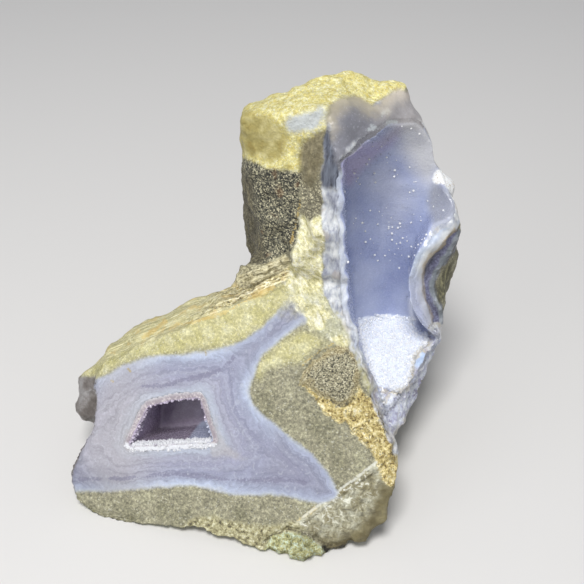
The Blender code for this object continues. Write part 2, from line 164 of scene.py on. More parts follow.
LEG_BASE = (
    (7.4, 18.2, 27.5), (9.4, 16.0, 20.8), (12.2, 14.5, 14.9), (13.7, 13.2, 11.0), (22.2, 30.6, 25.4),
    (21.1, 30.2, 21.2), (21.5, 29.0, 18.7), (20.5, 26.0, 14.3), (18.4, 22.0, 11.3), (15.6, 17.5, 10.9),
    (20.5, 40.0, 26.0), (17.5, 40.5, 12.0), (12.0, 39.5, 0.0), (10.6, 30.0, 0.0), (10.6, 14.0, 0.0),
    (0.0, 41.5, 10.0), (-6.0, 39.0, 5.0), (-5.0, 38.0, 0.0), (-4.0, 20.0, 0.0), (-6.0, 34.0, 28.0),
    (-2.0, 26.0, 28.0),
)
FLANK = (
    (7.6, 15.2, 24.8), (9.3, 11.8, 20.2), (11.8, 8.2, 15.7), (13.6, 5.8, 12.8), (12.9, 3.2, 8.5),
    (10.7, 1.8, 5.4), (7.4, 18.2, 27.5), (9.4, 16.0, 20.8), (12.2, 14.5, 14.9), (13.7, 13.2, 11.0),
    (7.2, 4.5, 0.0), (9.8, 9.0, 0.0), (10.6, 14.0, 0.0), (0.0, 20.0, 0.0), (0.0, 16.0, 16.0),
    (1.0, 20.5, 29.0), (5.0, 17.6, 28.0),
)
LUMPS = (
    ((1.6, 22.4, 34.6), 2.3), ((3.6, 21.6, 38.6), 1.9), ((3.0, 20.8, 30.8), 2.2),
    ((-3.6, 25.4, 30.0), 2.4), ((-0.6, 24.6, 30.4), 2.0), ((-6.4, 29.8, 25.0), 1.8),
    ((1.2, 2.6, 1.6), 2.3), ((-1.4, 3.4, 1.2), 1.7), ((4.6, 3.0, 1.8), 1.6),
)
NICHE_RINGS = (
    ((5.6, 24.8, 49.4), (6.6, 26.6, 49.2), (10.0, 28.0, 49.1), (13.5, 30.4, 49.6), (17.5, 32.6, 52.6)),
    ((5.9, 23.4, 47.0), (6.9, 28.8, 46.8), (11.0, 31.0, 46.8), (16.0, 32.8, 47.0), (22.0, 33.8, 47.2)),
    ((6.2, 21.8, 43.6), (7.0, 31.0, 43.6), (12.0, 33.2, 43.6), (18.0, 34.4, 43.8), (26.0, 35.0, 44.0)),
    ((6.5, 20.6, 38.6), (7.0, 31.8, 38.6), (12.5, 33.8, 38.6), (19.0, 34.8, 39.0), (27.0, 35.2, 39.4)),
    ((6.7, 20.1, 35.6), (7.2, 32.0, 35.6), (12.5, 34.0, 35.8), (19.4, 34.0, 36.4), (23.0, 30.6, 37.0)),
    ((6.9, 19.6, 33.6), (7.3, 32.0, 33.6), (12.5, 34.0, 33.8), (18.6, 33.4, 34.0), (18.6, 27.4, 34.4)),
    ((7.1, 19.0, 31.0), (7.4, 32.0, 31.0), (12.5, 34.0, 31.0), (17.4, 33.0, 31.0), (16.2, 25.6, 31.0)),
    ((7.5, 18.2, 27.8), (7.8, 32.0, 27.8), (12.5, 33.8, 27.8), (16.8, 32.6, 27.8), (15.3, 24.9, 27.8)),
    ((8.4, 17.2, 24.4), (8.2, 31.8, 24.4), (13.0, 33.6, 24.4), (17.2, 32.4, 24.4), (15.9, 24.7, 24.4)),
    ((9.6, 16.1, 20.7), (8.6, 31.5, 20.7), (13.5, 33.4, 20.7), (18.7, 32.0, 20.7), (17.6, 25.2, 20.7)),
    ((11.2, 15.1, 17.0), (9.0, 31.0, 17.4), (14.0, 33.0, 17.4), (19.6, 31.6, 17.8), (19.6, 26.2, 18.0)),
    ((12.1, 14.7, 14.9), (9.6, 30.4, 15.8), (14.5, 32.2, 16.0), (19.4, 30.8, 16.6), (20.2, 26.3, 16.9)),
)
NICHE_OPEN_TO = Vector((0.8, -0.6, 0.0))
NICHE_OPEN_REACH = 14.0


# Meshes

def world(point):
    """The place in metres of a point measured in millimetres from the datum."""
    return (Vector(point) - ORIGIN) * MM


def placed(name, data):
    """A new object in the scene."""
    made = bpy.data.objects.new(name, data)
    bpy.context.scene.collection.objects.link(made)
    return made


def mesh_object(name, bm):
    mesh = bpy.data.meshes.new(name)
    bm.to_mesh(mesh)
    bm.free()
    return placed(name, mesh)


def face_outwards(bm):
    bmesh.ops.recalc_face_normals(bm, faces=bm.faces)
    if bm.calc_volume(signed=True) < 0.0:
        bmesh.ops.reverse_faces(bm, faces=bm.faces)


def hull(name, corners):
    bm = bmesh.new()
    for corner in corners:
        bm.verts.new(world(corner))
    made = bmesh.ops.convex_hull(bm, input=bm.verts)
    unused = [v for v in made["geom_interior"] if isinstance(v, bmesh.types.BMVert)]
    bmesh.ops.delete(bm, geom=list(set(unused)), context="VERTS")
    face_outwards(bm)
    return mesh_object(name, bm)


def loft(name, rings):
    bm = bmesh.new()
    rows = [[bm.verts.new(world(point)) for point in ring] for ring in rings]
    for upper, lower in zip(rows, rows[1:]):
        for i in range(len(upper)):
            j = (i + 1) % len(upper)
            bm.faces.new((upper[i], upper[j], lower[j], lower[i]))
    bm.faces.new(rows[0])
    bm.faces.new(rows[-1])
    bmesh.ops.triangulate(bm, faces=bm.faces)
    face_outwards(bm)
    return mesh_object(name, bm)


def ball(name, centre, radius):
    bm = bmesh.new()
    bmesh.ops.create_uvsphere(
        bm, u_segments=24, v_segments=16, radius=radius * MM, matrix=Matrix.Translation(world(centre)),
    )
    return mesh_object(name, bm)


def on_face(across, up, out=0.0):
    return FACE_FOOT + ACROSS * across + UP * up + OUT * out


def as_mesh(source, name):
    """Replaces an object by a plain mesh of what its modifiers make."""
    graph = bpy.context.evaluated_depsgraph_get()
    mesh = bpy.data.meshes.new_from_object(source.evaluated_get(graph))
    bpy.data.objects.remove(source, do_unlink=True)
    mesh.name = name
    return placed(name, mesh)


def joined(name, pieces):
    bm = bmesh.new()
    for piece in pieces:
        bm.from_mesh(piece.data)
        bpy.data.objects.remove(piece, do_unlink=True)
    return mesh_object(name, bm)


def copy_of(source, name):
    return placed(name, source.data.copy())


def remesh(piece, voxel):
    fuse = piece.modifiers.new("fuse", "REMESH")
    fuse.mode = "VOXEL"
    fuse.voxel_size = voxel * MM


def smooth(piece, times):
    soften = piece.modifiers.new("soften", "SMOOTH")
    soften.factor = 0.5
    soften.iterations = times


def displace(piece, kind, size, height):
    texture = bpy.data.textures.new(piece.name + "_" + kind.lower(), kind)
    texture.noise_scale = size * MM
    push = piece.modifiers.new("push", "DISPLACE")
    push.texture = texture
    push.texture_coords = "LOCAL"
    push.strength = height * MM


def offset(piece, distance):
    move = piece.modifiers.new("offset", "DISPLACE")
    move.strength = distance * MM
    move.mid_level = 0.0


def boolean(piece, tool, operation):
    cut = piece.modifiers.new(operation.lower(), "BOOLEAN")
    cut.operation = operation
    cut.solver = "MANIFOLD"
    cut.object = tool


def remove(*pieces):
    for piece in pieces:
        bpy.data.objects.remove(piece, do_unlink=True)


def largest_body(piece):
    """Keeps the biggest of the closed skins in a mesh."""
    count = len(piece.data.vertices)
    edges = np.zeros(len(piece.data.edges) * 2, np.int64)
    piece.data.edges.foreach_get("vertices", edges)
    a, b = edges[0::2], edges[1::2]
    label = np.arange(count)
    while True:
        low = np.minimum(label[a], label[b])
        new = label.copy()
        np.minimum.at(new, a, low)
        np.minimum.at(new, b, low)
        new = new[new]
        if np.array_equal(new, label):
            break
        label = new
    kept = np.bincount(label).argmax()
    bm = bmesh.new()
    bm.from_mesh(piece.data)
    bm.verts.ensure_lookup_table()
    spare = [bm.verts[i] for i in np.nonzero(label != kept)[0]]
    bmesh.ops.delete(bm, geom=spare, context="VERTS")
    bm.to_mesh(piece.data)
    bm.free()


def places(piece):
    """The vertices of a piece in millimetres from the datum."""
    co = np.zeros(len(piece.data.vertices) * 3)
    piece.data.vertices.foreach_get("co", co)
    return co.reshape(-1, 3) / MM + np.array(ORIGIN)


def normals(piece):
    no = np.zeros(len(piece.data.vertices) * 3)
    piece.data.vertex_normals.foreach_get("vector", no)
    return no.reshape(-1, 3)


def set_places(piece, points):
    piece.data.vertices.foreach_set("co", ((points - np.array(ORIGIN)) * MM).ravel())
    piece.data.update()


def set_attribute(piece, name, values):
    layer = piece.data.attributes.new(name, "FLOAT", "POINT")
    layer.data.foreach_set("value", np.asarray(values, np.float32))


# The stone's forms

def niche_ring(ring):
    left = Vector(ring[0]) + NICHE_OPEN_TO * NICHE_OPEN_REACH
    right = Vector(ring[-1]) + NICHE_OPEN_TO * NICHE_OPEN_REACH
    return (left, *[Vector(point) for point in ring], right)


def foot():
    narrow = [FOOT_MIDDLE.lerp(Vector(point), FOOT_TAPER) for point in FACE_OUTLINE]
    front = [on_face(across, up, FOOT_PROUD) for across, up in FACE_OUTLINE]
    back = [on_face(across, up, -FOOT_DEPTH) for across, up in narrow]
    return loft("foot", (front, back))


def rough_block():
    pieces = [
        foot(),
        hull("foot_back", FOOT_BACK),
        hull("left_lobe", LEFT_LOBE),
        hull("leg", LEG),
        hull("right_lobe", RIGHT_LOBE),
        hull("leg_base", LEG_BASE),
        hull("flank", FLANK),
    ]
    pieces += [ball("lump", centre, radius) for centre, radius in LUMPS + SMALL_LUMPS]
    block = joined("block", pieces)
    remesh(block, FORM_VOXEL)
    smooth(block, FORM_SMOOTHING)
    displace(block, "CLOUDS", ROUGH_SIZE, ROUGH_HEIGHT)
    displace(block, "VORONOI", CHIP_SIZE, CHIP_HEIGHT)
    return as_mesh(block, "block")


def saw_block():
    corners = []
    for across in (SAW_LEFT, SAW_RIGHT):
        corners += [
            on_face(across, SAW_BOTTOM),
            on_face(across, SAW_TOP),
            on_face(across, SAW_BOTTOM, SAW_REACH),
            on_face(across, SAW_TOP + SAW_TOP_RISE, SAW_REACH),
        ]
    return hull("saw_cut", corners)


def ground_block():
    bm = bmesh.new()
    size = Matrix.Diagonal((GROUND_WIDTH * MM, GROUND_WIDTH * MM, GROUND_DEPTH * MM, 1.0))
    lowered = Matrix.Translation((0.0, 0.0, -GROUND_DEPTH / 2 * MM))
    bmesh.ops.create_cube(bm, size=1.0, matrix=lowered @ size)
    return mesh_object("ground", bm)


def niche_skin():
    """The surface of the niche's crystals, closed through the open air in front."""
    skin = loft("niche_skin", [niche_ring(ring) for ring in NICHE_RINGS])
    lip = hull("lip", LIP)
    boolean(skin, lip, "DIFFERENCE")
    remesh(skin, NICHE_SKIN_VOXEL)
    smooth(skin, NICHE_SMOOTHING)
    skin = as_mesh(skin, "niche_skin")
    remove(lip)
    return skin


def pocket_skin():
    front = [on_face(across, up, POCKET_PROUD) for across, up in POCKET_MOUTH]
    mouth = [on_face(across, up) for across, up in POCKET_MOUTH]
    end = [on_face(across, up, -POCKET_DEPTH) for across, up in POCKET_END]
    skin = loft("pocket_skin", (front, mouth, end))
    remesh(skin, POCKET_SKIN_VOXEL)
    smooth(skin, POCKET_SMOOTHING)
    return as_mesh(skin, "pocket_skin")


def grown(skin, distance):
    """A copy of a closed skin, moved out along its normals and healed."""
    made = copy_of(skin, skin.name + "_grown")
    offset(made, distance)
    remesh(made, GROWN_VOXEL)
    return as_mesh(made, made.name)


def crust(name, skin, block, voxel):
    coat = grown(skin, CRUST_THICKNESS)
    boolean(coat, block, "INTERSECT")
    boolean(coat, skin, "DIFFERENCE")
    remesh(coat, voxel)
    coat = as_mesh(coat, name)
    largest_body(coat)
    return coat


# Outlines and distances

CURVE_STEPS = 5
RIDGE_OCTAVES = 4


def seen_at(points):
    """Pixels of the view at which points in millimetres lie."""
    away = points - np.array(EYE)
    deep = away @ np.array(LOOK)
    x = VIEW_SIZE / 2 + FOCAL * (away @ np.array(LOOK_RIGHT)) / deep
    y = VIEW_SIZE / 2 - FOCAL * (away @ np.array(LOOK_UP)) / deep
    return np.stack([x, y], axis=1)


def on_face_at(points):
    """Across, up and out of the sawn face for points in millimetres."""
    away = points - np.array(FACE_FOOT)
    return np.stack([away @ np.array(ACROSS), away @ np.array(UP), away @ np.array(OUT)], axis=1)


def rounded(line, closed=True):
    """A line with its stretches rounded by Catmull-Rom curves through its points."""
    points = [np.array(point, float) for point in line]
    count = len(points)
    spans = count if closed else count - 1
    made = []
    for i in range(spans):
        if closed:
            p0, p1, p2, p3 = (points[(i + k - 1) % count] for k in range(4))
        else:
            p0, p1, p2, p3 = (points[min(max(i + k - 1, 0), count - 1)] for k in range(4))
        for step in range(CURVE_STEPS):
            t = step / CURVE_STEPS
            made.append(0.5 * (
                2 * p1 + (p2 - p0) * t + (2 * p0 - 5 * p1 + 4 * p2 - p3) * t * t
                + (3 * p1 - p0 - 3 * p2 + p3) * t * t * t
            ))
    if not closed:
        made.append(points[-1])
    return np.array(made)


def to_line(points, line, closed=False):
    """Distance from points to a line."""
    ends = np.roll(line, -1, axis=0) if closed else line[1:]
    best = np.full(len(points), 1e9)
    for start, end in zip(line, ends):
        along = end - start
        share = np.clip((points - start) @ along / max(along @ along, 1e-12), 0.0, 1.0)
        gap = points - start - share[:, None] * along
        best = np.minimum(best, np.hypot(gap[:, 0], gap[:, 1]))
    return best


def within(points, outline):
    """Distance into an outline, negative outside it."""
    inside = np.zeros(len(points), bool)
    x, y = points[:, 0], points[:, 1]
    for (x0, y0), (x1, y1) in zip(outline, np.roll(outline, -1, axis=0)):
        if y0 != y1:
            inside ^= ((y0 > y) != (y1 > y)) & (x < (x1 - x0) * (y - y0) / (y1 - y0) + x0)
    gap = to_line(points, outline, closed=True)
    return np.where(inside, gap, -gap)


def region(pixels, outline):
    """Distance in millimetres into an outline that is written in pixels."""
    return within(pixels, rounded(outline)) * PIXEL


def inside(pixels, outline, low, high):
    """0 where a point lies less than low into an outline, 1 where it lies deeper than high."""
    return ease(region(pixels, outline), low, high)


def from_line(pixels, line):
    """Distance in millimetres from an open line that is written in pixels."""
    return to_line(pixels, rounded(line, closed=False)) * PIXEL


def bell(distance, width):
    return np.exp(-(distance / width) ** 2)


def ease(values, low, high):
    """0 below low, 1 above high, smooth between."""
    share = np.clip((values - low) / (high - low), 0.0, 1.0)
    return share * share * (3 - 2 * share)


def noise_at(points, size, seed=0.0):
    """Smooth noise from about -1 to 1 with lumps of a size in millimetres."""
    shifted = points / size + seed
    return np.array([noise.noise(Vector(point)) for point in shifted])


def ridges_at(points, size, seed):
    shifted = points / size + seed
    return np.array([noise.turbulence(Vector(point), RIDGE_OCTAVES, False) for point in shifted])


def jitter(points, size, seeds):
    """Noise to either side and up or down, which makes outlines ragged."""
    return np.stack([noise_at(points, size, seed) for seed in seeds], axis=1)


# Node materials

class Shader:
    """Builds one node material; each method adds a node and returns its output."""

    def __init__(self, name):
        self.material = bpy.data.materials.new(name)
        self.material.use_nodes = True
        self.tree = self.material.node_tree
        self.tree.nodes.clear()
        self.output = self.tree.nodes.new("ShaderNodeOutputMaterial")
        self.surface = self.tree.nodes.new("ShaderNodeBsdfPrincipled")
        self.tree.links.new(self.surface.outputs[0], self.output.inputs[0])
        coordinates = self.tree.nodes.new("ShaderNodeTexCoord")
        self.mm = self.vector("MULTIPLY", coordinates.outputs["Object"], (1000.0, 1000.0, 1000.0))

    def put(self, socket, value):
        if isinstance(value, bpy.types.NodeSocket):
            self.tree.links.new(value, socket)
        else:
            socket.default_value = value

    def vector(self, operation, a, b):
        made = self.tree.nodes.new("ShaderNodeVectorMath")
        made.operation = operation
        self.put(made.inputs[0], a)
        self.put(made.inputs[1], b)
        return made.outputs[0]

    def math(self, operation, a, b=0.0, c=0.0):
        made = self.tree.nodes.new("ShaderNodeMath")
        made.operation = operation
        for socket, value in zip(made.inputs, (a, b, c)):
            self.put(socket, value)
        return made.outputs[0]

    def times(self, a, b):
        return self.math("MULTIPLY", a, b)

    def madd(self, a, b, c):
        """a times b, plus c."""
        return self.math("MULTIPLY_ADD", a, b, c)

    def rest(self, share):
        """What a share leaves of 1."""
        return self.math("SUBTRACT", 1.0, share)

    def around(self, value):
        """A noise moved so that its middle is at 0."""
        return self.math("SUBTRACT", value, 0.5)

    def attribute(self, name):
        made = self.tree.nodes.new("ShaderNodeAttribute")
        made.attribute_name = name
        return made.outputs["Fac"]

    def noise(self, scale, detail=2.0, roughness=0.5, at=None, distortion=0.0):
        made = self.tree.nodes.new("ShaderNodeTexNoise")
        self.put(made.inputs["Vector"], at or self.mm)
        self.put(made.inputs["Scale"], scale)
        self.put(made.inputs["Detail"], detail)
        self.put(made.inputs["Roughness"], roughness)
        self.put(made.inputs["Distortion"], distortion)
        return made.outputs[0]

    def cells(self, scale, output="Color", at=None):
        made = self.tree.nodes.new("ShaderNodeTexVoronoi")
        self.put(made.inputs["Vector"], at or self.mm)
        self.put(made.inputs["Scale"], scale)
        return made.outputs[output]

    def random_cells(self, scale, shift=(0.0, 0.0, 0.0)):
        """Two random numbers that stay the same through each of many small cells."""
        made = self.tree.nodes.new("ShaderNodeSeparateColor")
        self.put(made.inputs[0], self.cells(scale, at=self.moved(shift)))
        return made.outputs[0], made.outputs[1]

    def moved(self, shift):
        return self.vector("ADD", self.mm, shift)

    def shaded(self, colour, factor):
        """A colour made darker or lighter by a number."""
        made = self.tree.nodes.new("ShaderNodeVectorMath")
        made.operation = "SCALE"
        self.put(made.inputs[0], colour)
        self.put(made.inputs["Scale"], factor)
        return made.outputs[0]

    def step(self, value, low, high):
        """0 where value is below low, 1 above high."""
        made = self.tree.nodes.new("ShaderNodeMapRange")
        made.interpolation_type = "SMOOTHSTEP"
        self.put(made.inputs["Value"], value)
        self.put(made.inputs["From Min"], low)
        self.put(made.inputs["From Max"], high)
        return made.outputs[0]

    def ramp(self, value, stops, kind="LINEAR"):
        made = self.tree.nodes.new("ShaderNodeValToRGB")
        made.color_ramp.interpolation = kind
        while len(made.color_ramp.elements) < len(stops):
            made.color_ramp.elements.new(0.5)
        for element, (place, colour) in zip(made.color_ramp.elements, stops):
            element.position = place
            element.color = (*linear(colour), 1.0)
        self.put(made.inputs[0], value)
        return made.outputs[0]

    def ramp_value(self, value, stops):
        """A number read off straight stretches between stops."""
        made = self.tree.nodes.new("ShaderNodeFloatCurve")
        curve = made.mapping.curves[0]
        least, most = stops[0][1], stops[-1][1]
        curve.points[0].location = (0.0, 0.0)
        curve.points[1].location = (1.0, 1.0)
        for place, level in stops:
            curve.points.new(place, (level - least) / (most - least))
        made.mapping.update()
        self.put(made.inputs["Value"], value)
        return self.madd(made.outputs[0], most - least, least)

    def mix(self, share, a, b):
        made = self.tree.nodes.new("ShaderNodeMix")
        made.data_type = "RGBA"
        self.put(made.inputs[0], share)
        self.put(made.inputs[6], a if isinstance(a, bpy.types.NodeSocket) else (*linear(a), 1.0))
        self.put(made.inputs[7], b if isinstance(b, bpy.types.NodeSocket) else (*linear(b), 1.0))
        return made.outputs[2]

    def blend(self, share, a, b):
        """Mixes two numbers."""
        made = self.tree.nodes.new("ShaderNodeMix")
        made.data_type = "FLOAT"
        self.put(made.inputs[0], share)
        self.put(made.inputs[2], a)
        self.put(made.inputs[3], b)
        return made.outputs[0]

    def stretched(self, direction, along, across):
        """Coordinates squeezed along a direction, so that noise there is drawn out into fibres."""
        turn = Vector(direction).normalized().rotation_difference(Vector((0, 0, 1))).to_euler()
        made = self.tree.nodes.new("ShaderNodeMapping")
        made.vector_type = "POINT"
        made.inputs["Rotation"].default_value = turn
        self.put(made.inputs["Vector"], self.mm)
        return self.vector("MULTIPLY", made.outputs[0], (across, across, along))

    def joined(self, x, y, z=0.0):
        made = self.tree.nodes.new("ShaderNodeCombineXYZ")
        for socket, value in zip(made.inputs, (x, y, z)):
            self.put(socket, value)
        return made.outputs[0]

    def axis(self, index):
        """One coordinate in millimetres from the part's origin."""
        made = self.tree.nodes.new("ShaderNodeSeparateXYZ")
        self.put(made.inputs[0], self.mm)
        return made.outputs[index]

    def scatter(self, radius, scale):
        """How far light spreads below the surface."""
        self.surface.inputs["Subsurface Radius"].default_value = radius
        self.surface.inputs["Subsurface Scale"].default_value = scale * MM

    def bump(self, height, distance, strength):
        made = self.tree.nodes.new("ShaderNodeBump")
        self.put(made.inputs["Strength"], strength)
        self.put(made.inputs["Distance"], distance * MM)
        self.put(made.inputs["Height"], height)
        return made.outputs[0]


def linear(colour):
    """Scene-linear values of an sRGB colour given from 0 to 255."""
    return tuple((c / 255 / 12.92) if c <= 10 else ((c / 255 + 0.055) / 1.055) ** 2.4 for c in colour)


# Camera

def make_camera():
    data = bpy.data.cameras.new("camera")
    data.lens = LENS
    data.sensor_width = SENSOR
    data.clip_start = 0.005
    data.clip_end = 10.0
    camera = placed("camera", data)
    camera.location = world(EYE)
    camera.rotation_euler = (math.pi / 2 - ELEVATION, 0.0, 0.0)
    bpy.context.scene.camera = camera


make_camera()


# Outlines in pixels of the view

BROKEN_RIGHT = (
    (283, 284), (293, 299), (303, 310), (310, 324), (318, 338), (316, 352), (304, 366), (295, 379),
    (300, 389), (320, 405), (345, 425), (364, 445), (378, 463), (430, 470), (430, 300), (330, 240),
)
RIDGE_LEFT = (296, 522)
RIDGE_RIGHT = (380, 461)
GLASSY = (
    (292, 526), (300, 519), (321, 504), (346, 486), (377, 463), (430, 470), (420, 570), (350, 560),
    (318, 542),
)
CRUMBLE = (
    (270, 541), (277, 535), (288, 532), (300, 534), (312, 540), (322, 547), (326, 556), (320, 570),
    (268, 570), (264, 552),
)
CRUMBLE_ARC = ((262, 545), (271, 537), (286, 530), (300, 532), (318, 540), (333, 545), (351, 541))
DARK_ROCK = ((321, 545), (334, 547), (350, 543), (358, 549), (348, 570), (318, 570))
BOTTOM_OCHRE = (
    (194, 519), (214, 517), (235, 522), (258, 526), (277, 524), (294, 523), (303, 530), (288, 533),
    (274, 538), (264, 548), (258, 562), (200, 552), (185, 530),
)
CAP = (
    (225, 100), (262, 92), (320, 50), (350, 40), (395, 50), (425, 80), (410, 88), (399, 91), (386, 96),
    (375, 105), (361, 99), (351, 97), (338, 101), (330, 108), (326, 118), (325, 128), (312, 140),
    (304, 150), (301, 168), (286, 169), (268, 168), (260, 164), (246, 159), (225, 152),
)
HONEY = ((225, 108), (250, 112), (268, 118), (283, 133), (286, 146), (275, 160), (253, 156), (225, 146))
WHITE_PATCH = (
    (286, 126), (295, 116), (313, 110), (323, 108), (326, 115), (319, 126), (309, 131), (295, 133),
)
BROWN = ((302, 143), (312, 135), (324, 130), (323, 160), (318, 178), (312, 188), (303, 180), (300, 165))
MATRIX_LEG = (
    (215, 152), (246, 159), (260, 164), (268, 168), (286, 169), (301, 168), (303, 180), (300, 200),
    (298, 215), (299, 228), (296, 240), (290, 250), (283, 256), (270, 262), (262, 268), (250, 272),
    (215, 265),
)
PALE_MATRIX = ((303, 180), (312, 186), (320, 182), (322, 200), (320, 215), (310, 222), (300, 215))
FIBRE = ((215, 170), (248, 172), (254, 200), (261, 230), (264, 250), (262, 264), (215, 264))
CRUST = (
    (300, 215), (310, 222), (320, 215), (324, 235), (324, 262), (322, 285), (330, 305), (342, 325),
    (350, 345), (345, 350), (335, 345), (322, 335), (310, 325), (300, 312), (290, 300), (283, 290),
    (288, 275), (290, 262), (294, 248), (298, 235),
)
CURTAIN = (
    (337, 105), (330, 115), (326, 128), (323, 145), (322, 165), (320, 182), (322, 200), (321, 215),
    (324, 235), (324, 262), (322, 285), (330, 305), (342, 325), (350, 345), (355, 360), (365, 385),
    (374, 400), (384, 418), (392, 440), (405, 460), (500, 460), (500, 90), (410, 95), (394, 92),
    (386, 97), (376, 104), (365, 110), (350, 105),
)
SKIN = (
    (463, 240), (459, 260), (454, 277), (447, 295), (441, 304), (438, 297), (437, 286), (441, 275),
    (448, 264), (455, 254), (459, 243), (480, 225), (480, 330), (446, 305),
)
TOP_STRIP = (
    (60, 385), (100, 362), (125, 352), (150, 341), (175, 331), (200, 320), (220, 311), (242, 301),
    (258, 294), (275, 286), (285, 281), (292, 275), (290, 262), (283, 256), (270, 262), (250, 250),
    (200, 262), (60, 340),
)
LEDGE = (
    (236, 274), (239, 266), (246, 262), (258, 265), (268, 262), (276, 258), (287, 257), (291, 262),
    (284, 269), (270, 278), (255, 285), (243, 288), (236, 283),
)
LEDGE_CREVICE = ((237, 287), (246, 287), (256, 284), (270, 277), (282, 269), (290, 261))
VEIN = (
    (20, 392), (95, 379), (124, 365), (156, 356), (188, 354), (211, 350), (235, 344), (253, 334),
    (270, 320), (283, 303), (291, 298), (299, 305), (307, 321), (298, 326), (276, 344), (263, 355),
    (257, 368), (250, 387), (253, 403), (265, 416), (284, 432), (297, 443), (317, 460), (338, 492),
    (322, 503), (303, 500), (276, 495), (235, 495), (196, 486), (168, 487), (116, 491), (73, 492),
    (20, 496),
)
PATCH = (
    (300, 378), (307, 370), (313, 362), (324, 352), (337, 347), (350, 349), (359, 357), (362, 368),
    (359, 381), (356, 392), (349, 402), (337, 404), (328, 399), (318, 395), (309, 389), (301, 384),
)
PATCH_SHADOW = ((331, 401), (340, 405), (350, 403), (356, 394))
OCHRE_STRIP = (
    (298, 384), (309, 389), (318, 395), (328, 400), (337, 405), (349, 403), (356, 393), (359, 386),
    (368, 397), (380, 412), (392, 434), (404, 455), (405, 480), (391, 486), (381, 477), (376, 460),
    (368, 448), (355, 435), (348, 423), (334, 421), (321, 408), (310, 393),
)
OCHRE_SEAMS = (
    ((144, 337), (155, 330), (166, 322)),
    ((176, 326), (200, 320), (222, 313), (244, 302), (262, 293), (274, 286)),
    ((303, 365), (318, 352), (332, 344)),
    ((300, 200), (297, 218), (291, 242)),
    ((298, 521), (306, 515), (316, 508)),
)
RUST_DOTS = (
    ((128, 369), (130, 371)), ((93, 376), (95, 378)), ((111, 381), (113, 382)), ((205, 351), (206, 355)),
)
DARK_SEAMS = (
    ((80, 479), (124, 478), (170, 474), (203, 477), (235, 480), (283, 480), (305, 482)),
    ((142, 386), (162, 386), (180, 381), (203, 376), (221, 369), (232, 358)),
)
RIM_INNER = (
    (463, 218), (457, 222), (443, 229), (430, 240), (419, 250), (409, 267), (408, 278), (410, 292),
    (412, 306), (415, 322), (424, 332),
)
RIM_EDGE = (
    (456, 229), (447, 238), (442, 246), (434, 252), (427, 260), (423, 271), (424, 283), (424, 295),
    (429, 307), (432, 318), (434, 330),
)
RIM_GROOVE = (
    (454, 236), (448, 245), (442, 254), (431, 268), (427, 283), (430, 298), (434, 311), (438, 324),
)
RIM_RIDGE = (
    (460, 232), (456, 240), (449, 252), (442, 263), (436, 272), (432, 283), (434, 295), (438, 304),
    (441, 316), (442, 328),
)
SHELF = (
    (334, 318), (352, 321), (365, 317), (390, 315), (412, 318), (424, 326), (431, 330), (426, 345),
    (416, 355), (413, 364), (412, 375), (407, 386), (399, 392), (391, 391), (386, 400), (378, 404),
    (366, 392), (356, 374), (343, 345),
)
BEADS = (
    (429, 327), (438, 322), (447, 330), (444, 350), (436, 366), (430, 384), (422, 402), (413, 414),
    (400, 432), (391, 444), (383, 428), (376, 412), (371, 394), (380, 386), (397, 391), (405, 386),
    (411, 375), (413, 363), (415, 355), (426, 345),
)
BEAD = ((418, 363), (423, 356))
LOBE_SIDE = ((480, 332), (480, 215))
NICHE_EDGE = ((339, 150), (342, 200), (345, 260), (349, 310), (356, 350), (366, 380))
NOTCH = (
    (432, 181), (436, 170), (446, 172), (456, 183), (461, 198), (455, 199), (449, 190), (442, 185),
    (436, 184),
)
LIP_FACE = (
    (326, 118), (330, 107), (338, 100), (351, 96), (361, 98), (375, 104), (386, 95), (399, 90), (412, 92),
    (422, 108), (424, 120), (408, 124), (395, 130), (382, 137), (368, 144), (362, 141), (353, 145),
    (348, 150), (341, 158), (336, 165), (334, 150), (330, 130),
)
LIP_SPOTS = (((369, 128), (376, 127)), ((388, 123), (395, 122)), ((384, 112), (387, 111)))
CURTAIN_TOP = (
    (321, 132), (332, 128), (338, 140), (342, 165), (343, 186), (331, 190), (318, 184), (321, 165),
)
CURTAIN_END = (
    (334, 310), (343, 322), (352, 342), (362, 362), (371, 382), (384, 404), (396, 440), (384, 440),
    (372, 410), (362, 388), (352, 360), (338, 330),
)
TOP_CHERT = (
    (60, 372), (125, 345), (180, 325), (240, 300), (284, 284), (290, 297), (270, 318), (253, 332),
    (235, 342), (200, 350), (155, 356), (125, 362), (90, 378),
)
LOBE_TINT = (
    (258, 360), (272, 346), (298, 328), (318, 332), (334, 344), (318, 352), (306, 362), (290, 366),
    (272, 372), (258, 382), (252, 374),
)
POCKET_CORNER = ((190, 443), (197, 428), (206, 421), (214, 430), (216, 443))
WEDGE = ((213, 416), (220, 434), (231, 447), (243, 459), (228, 457), (211, 453), (214, 440))
# Painted light: the recess below the lobe's lower end, lightened where it lies in shadow.
LOBE_FOOT_PAINTED_LIGHT = ((409, 298), (417, 311), (428, 322), (439, 332), (437, 342), (426, 334), (411, 318))
# The lower right edge, darker honey: partly its own colour, partly painted shade where it turns down from the
# light.
HONEY_AND_SHADE_EDGE = (
    (330, 590), (318, 548), (332, 540), (350, 531), (366, 517), (376, 499), (384, 482), (430, 470),
    (430, 590),
)
# The white line on the ridge: partly white crystals, partly a painted highlight along its edge.
RIDGE_LINE_AND_HIGHLIGHT = ((303, 517), (322, 503), (346, 485), (377, 462))
# The lip's shadow on the niche's wall, painted into its colour.
WALL_LIP_SHADOW = (
    (341, 172), (343, 160), (350, 150), (362, 144), (375, 142), (388, 134), (400, 127), (394, 142),
    (376, 156), (360, 172), (348, 186),
)
WALL_PALE = (
    (400, 95), (450, 95), (460, 165), (441, 172), (433, 186), (421, 182), (405, 160), (396, 138),
)
WALL_BEIGE = ((436, 184), (455, 196), (463, 212), (457, 222), (443, 229), (431, 218), (429, 198))
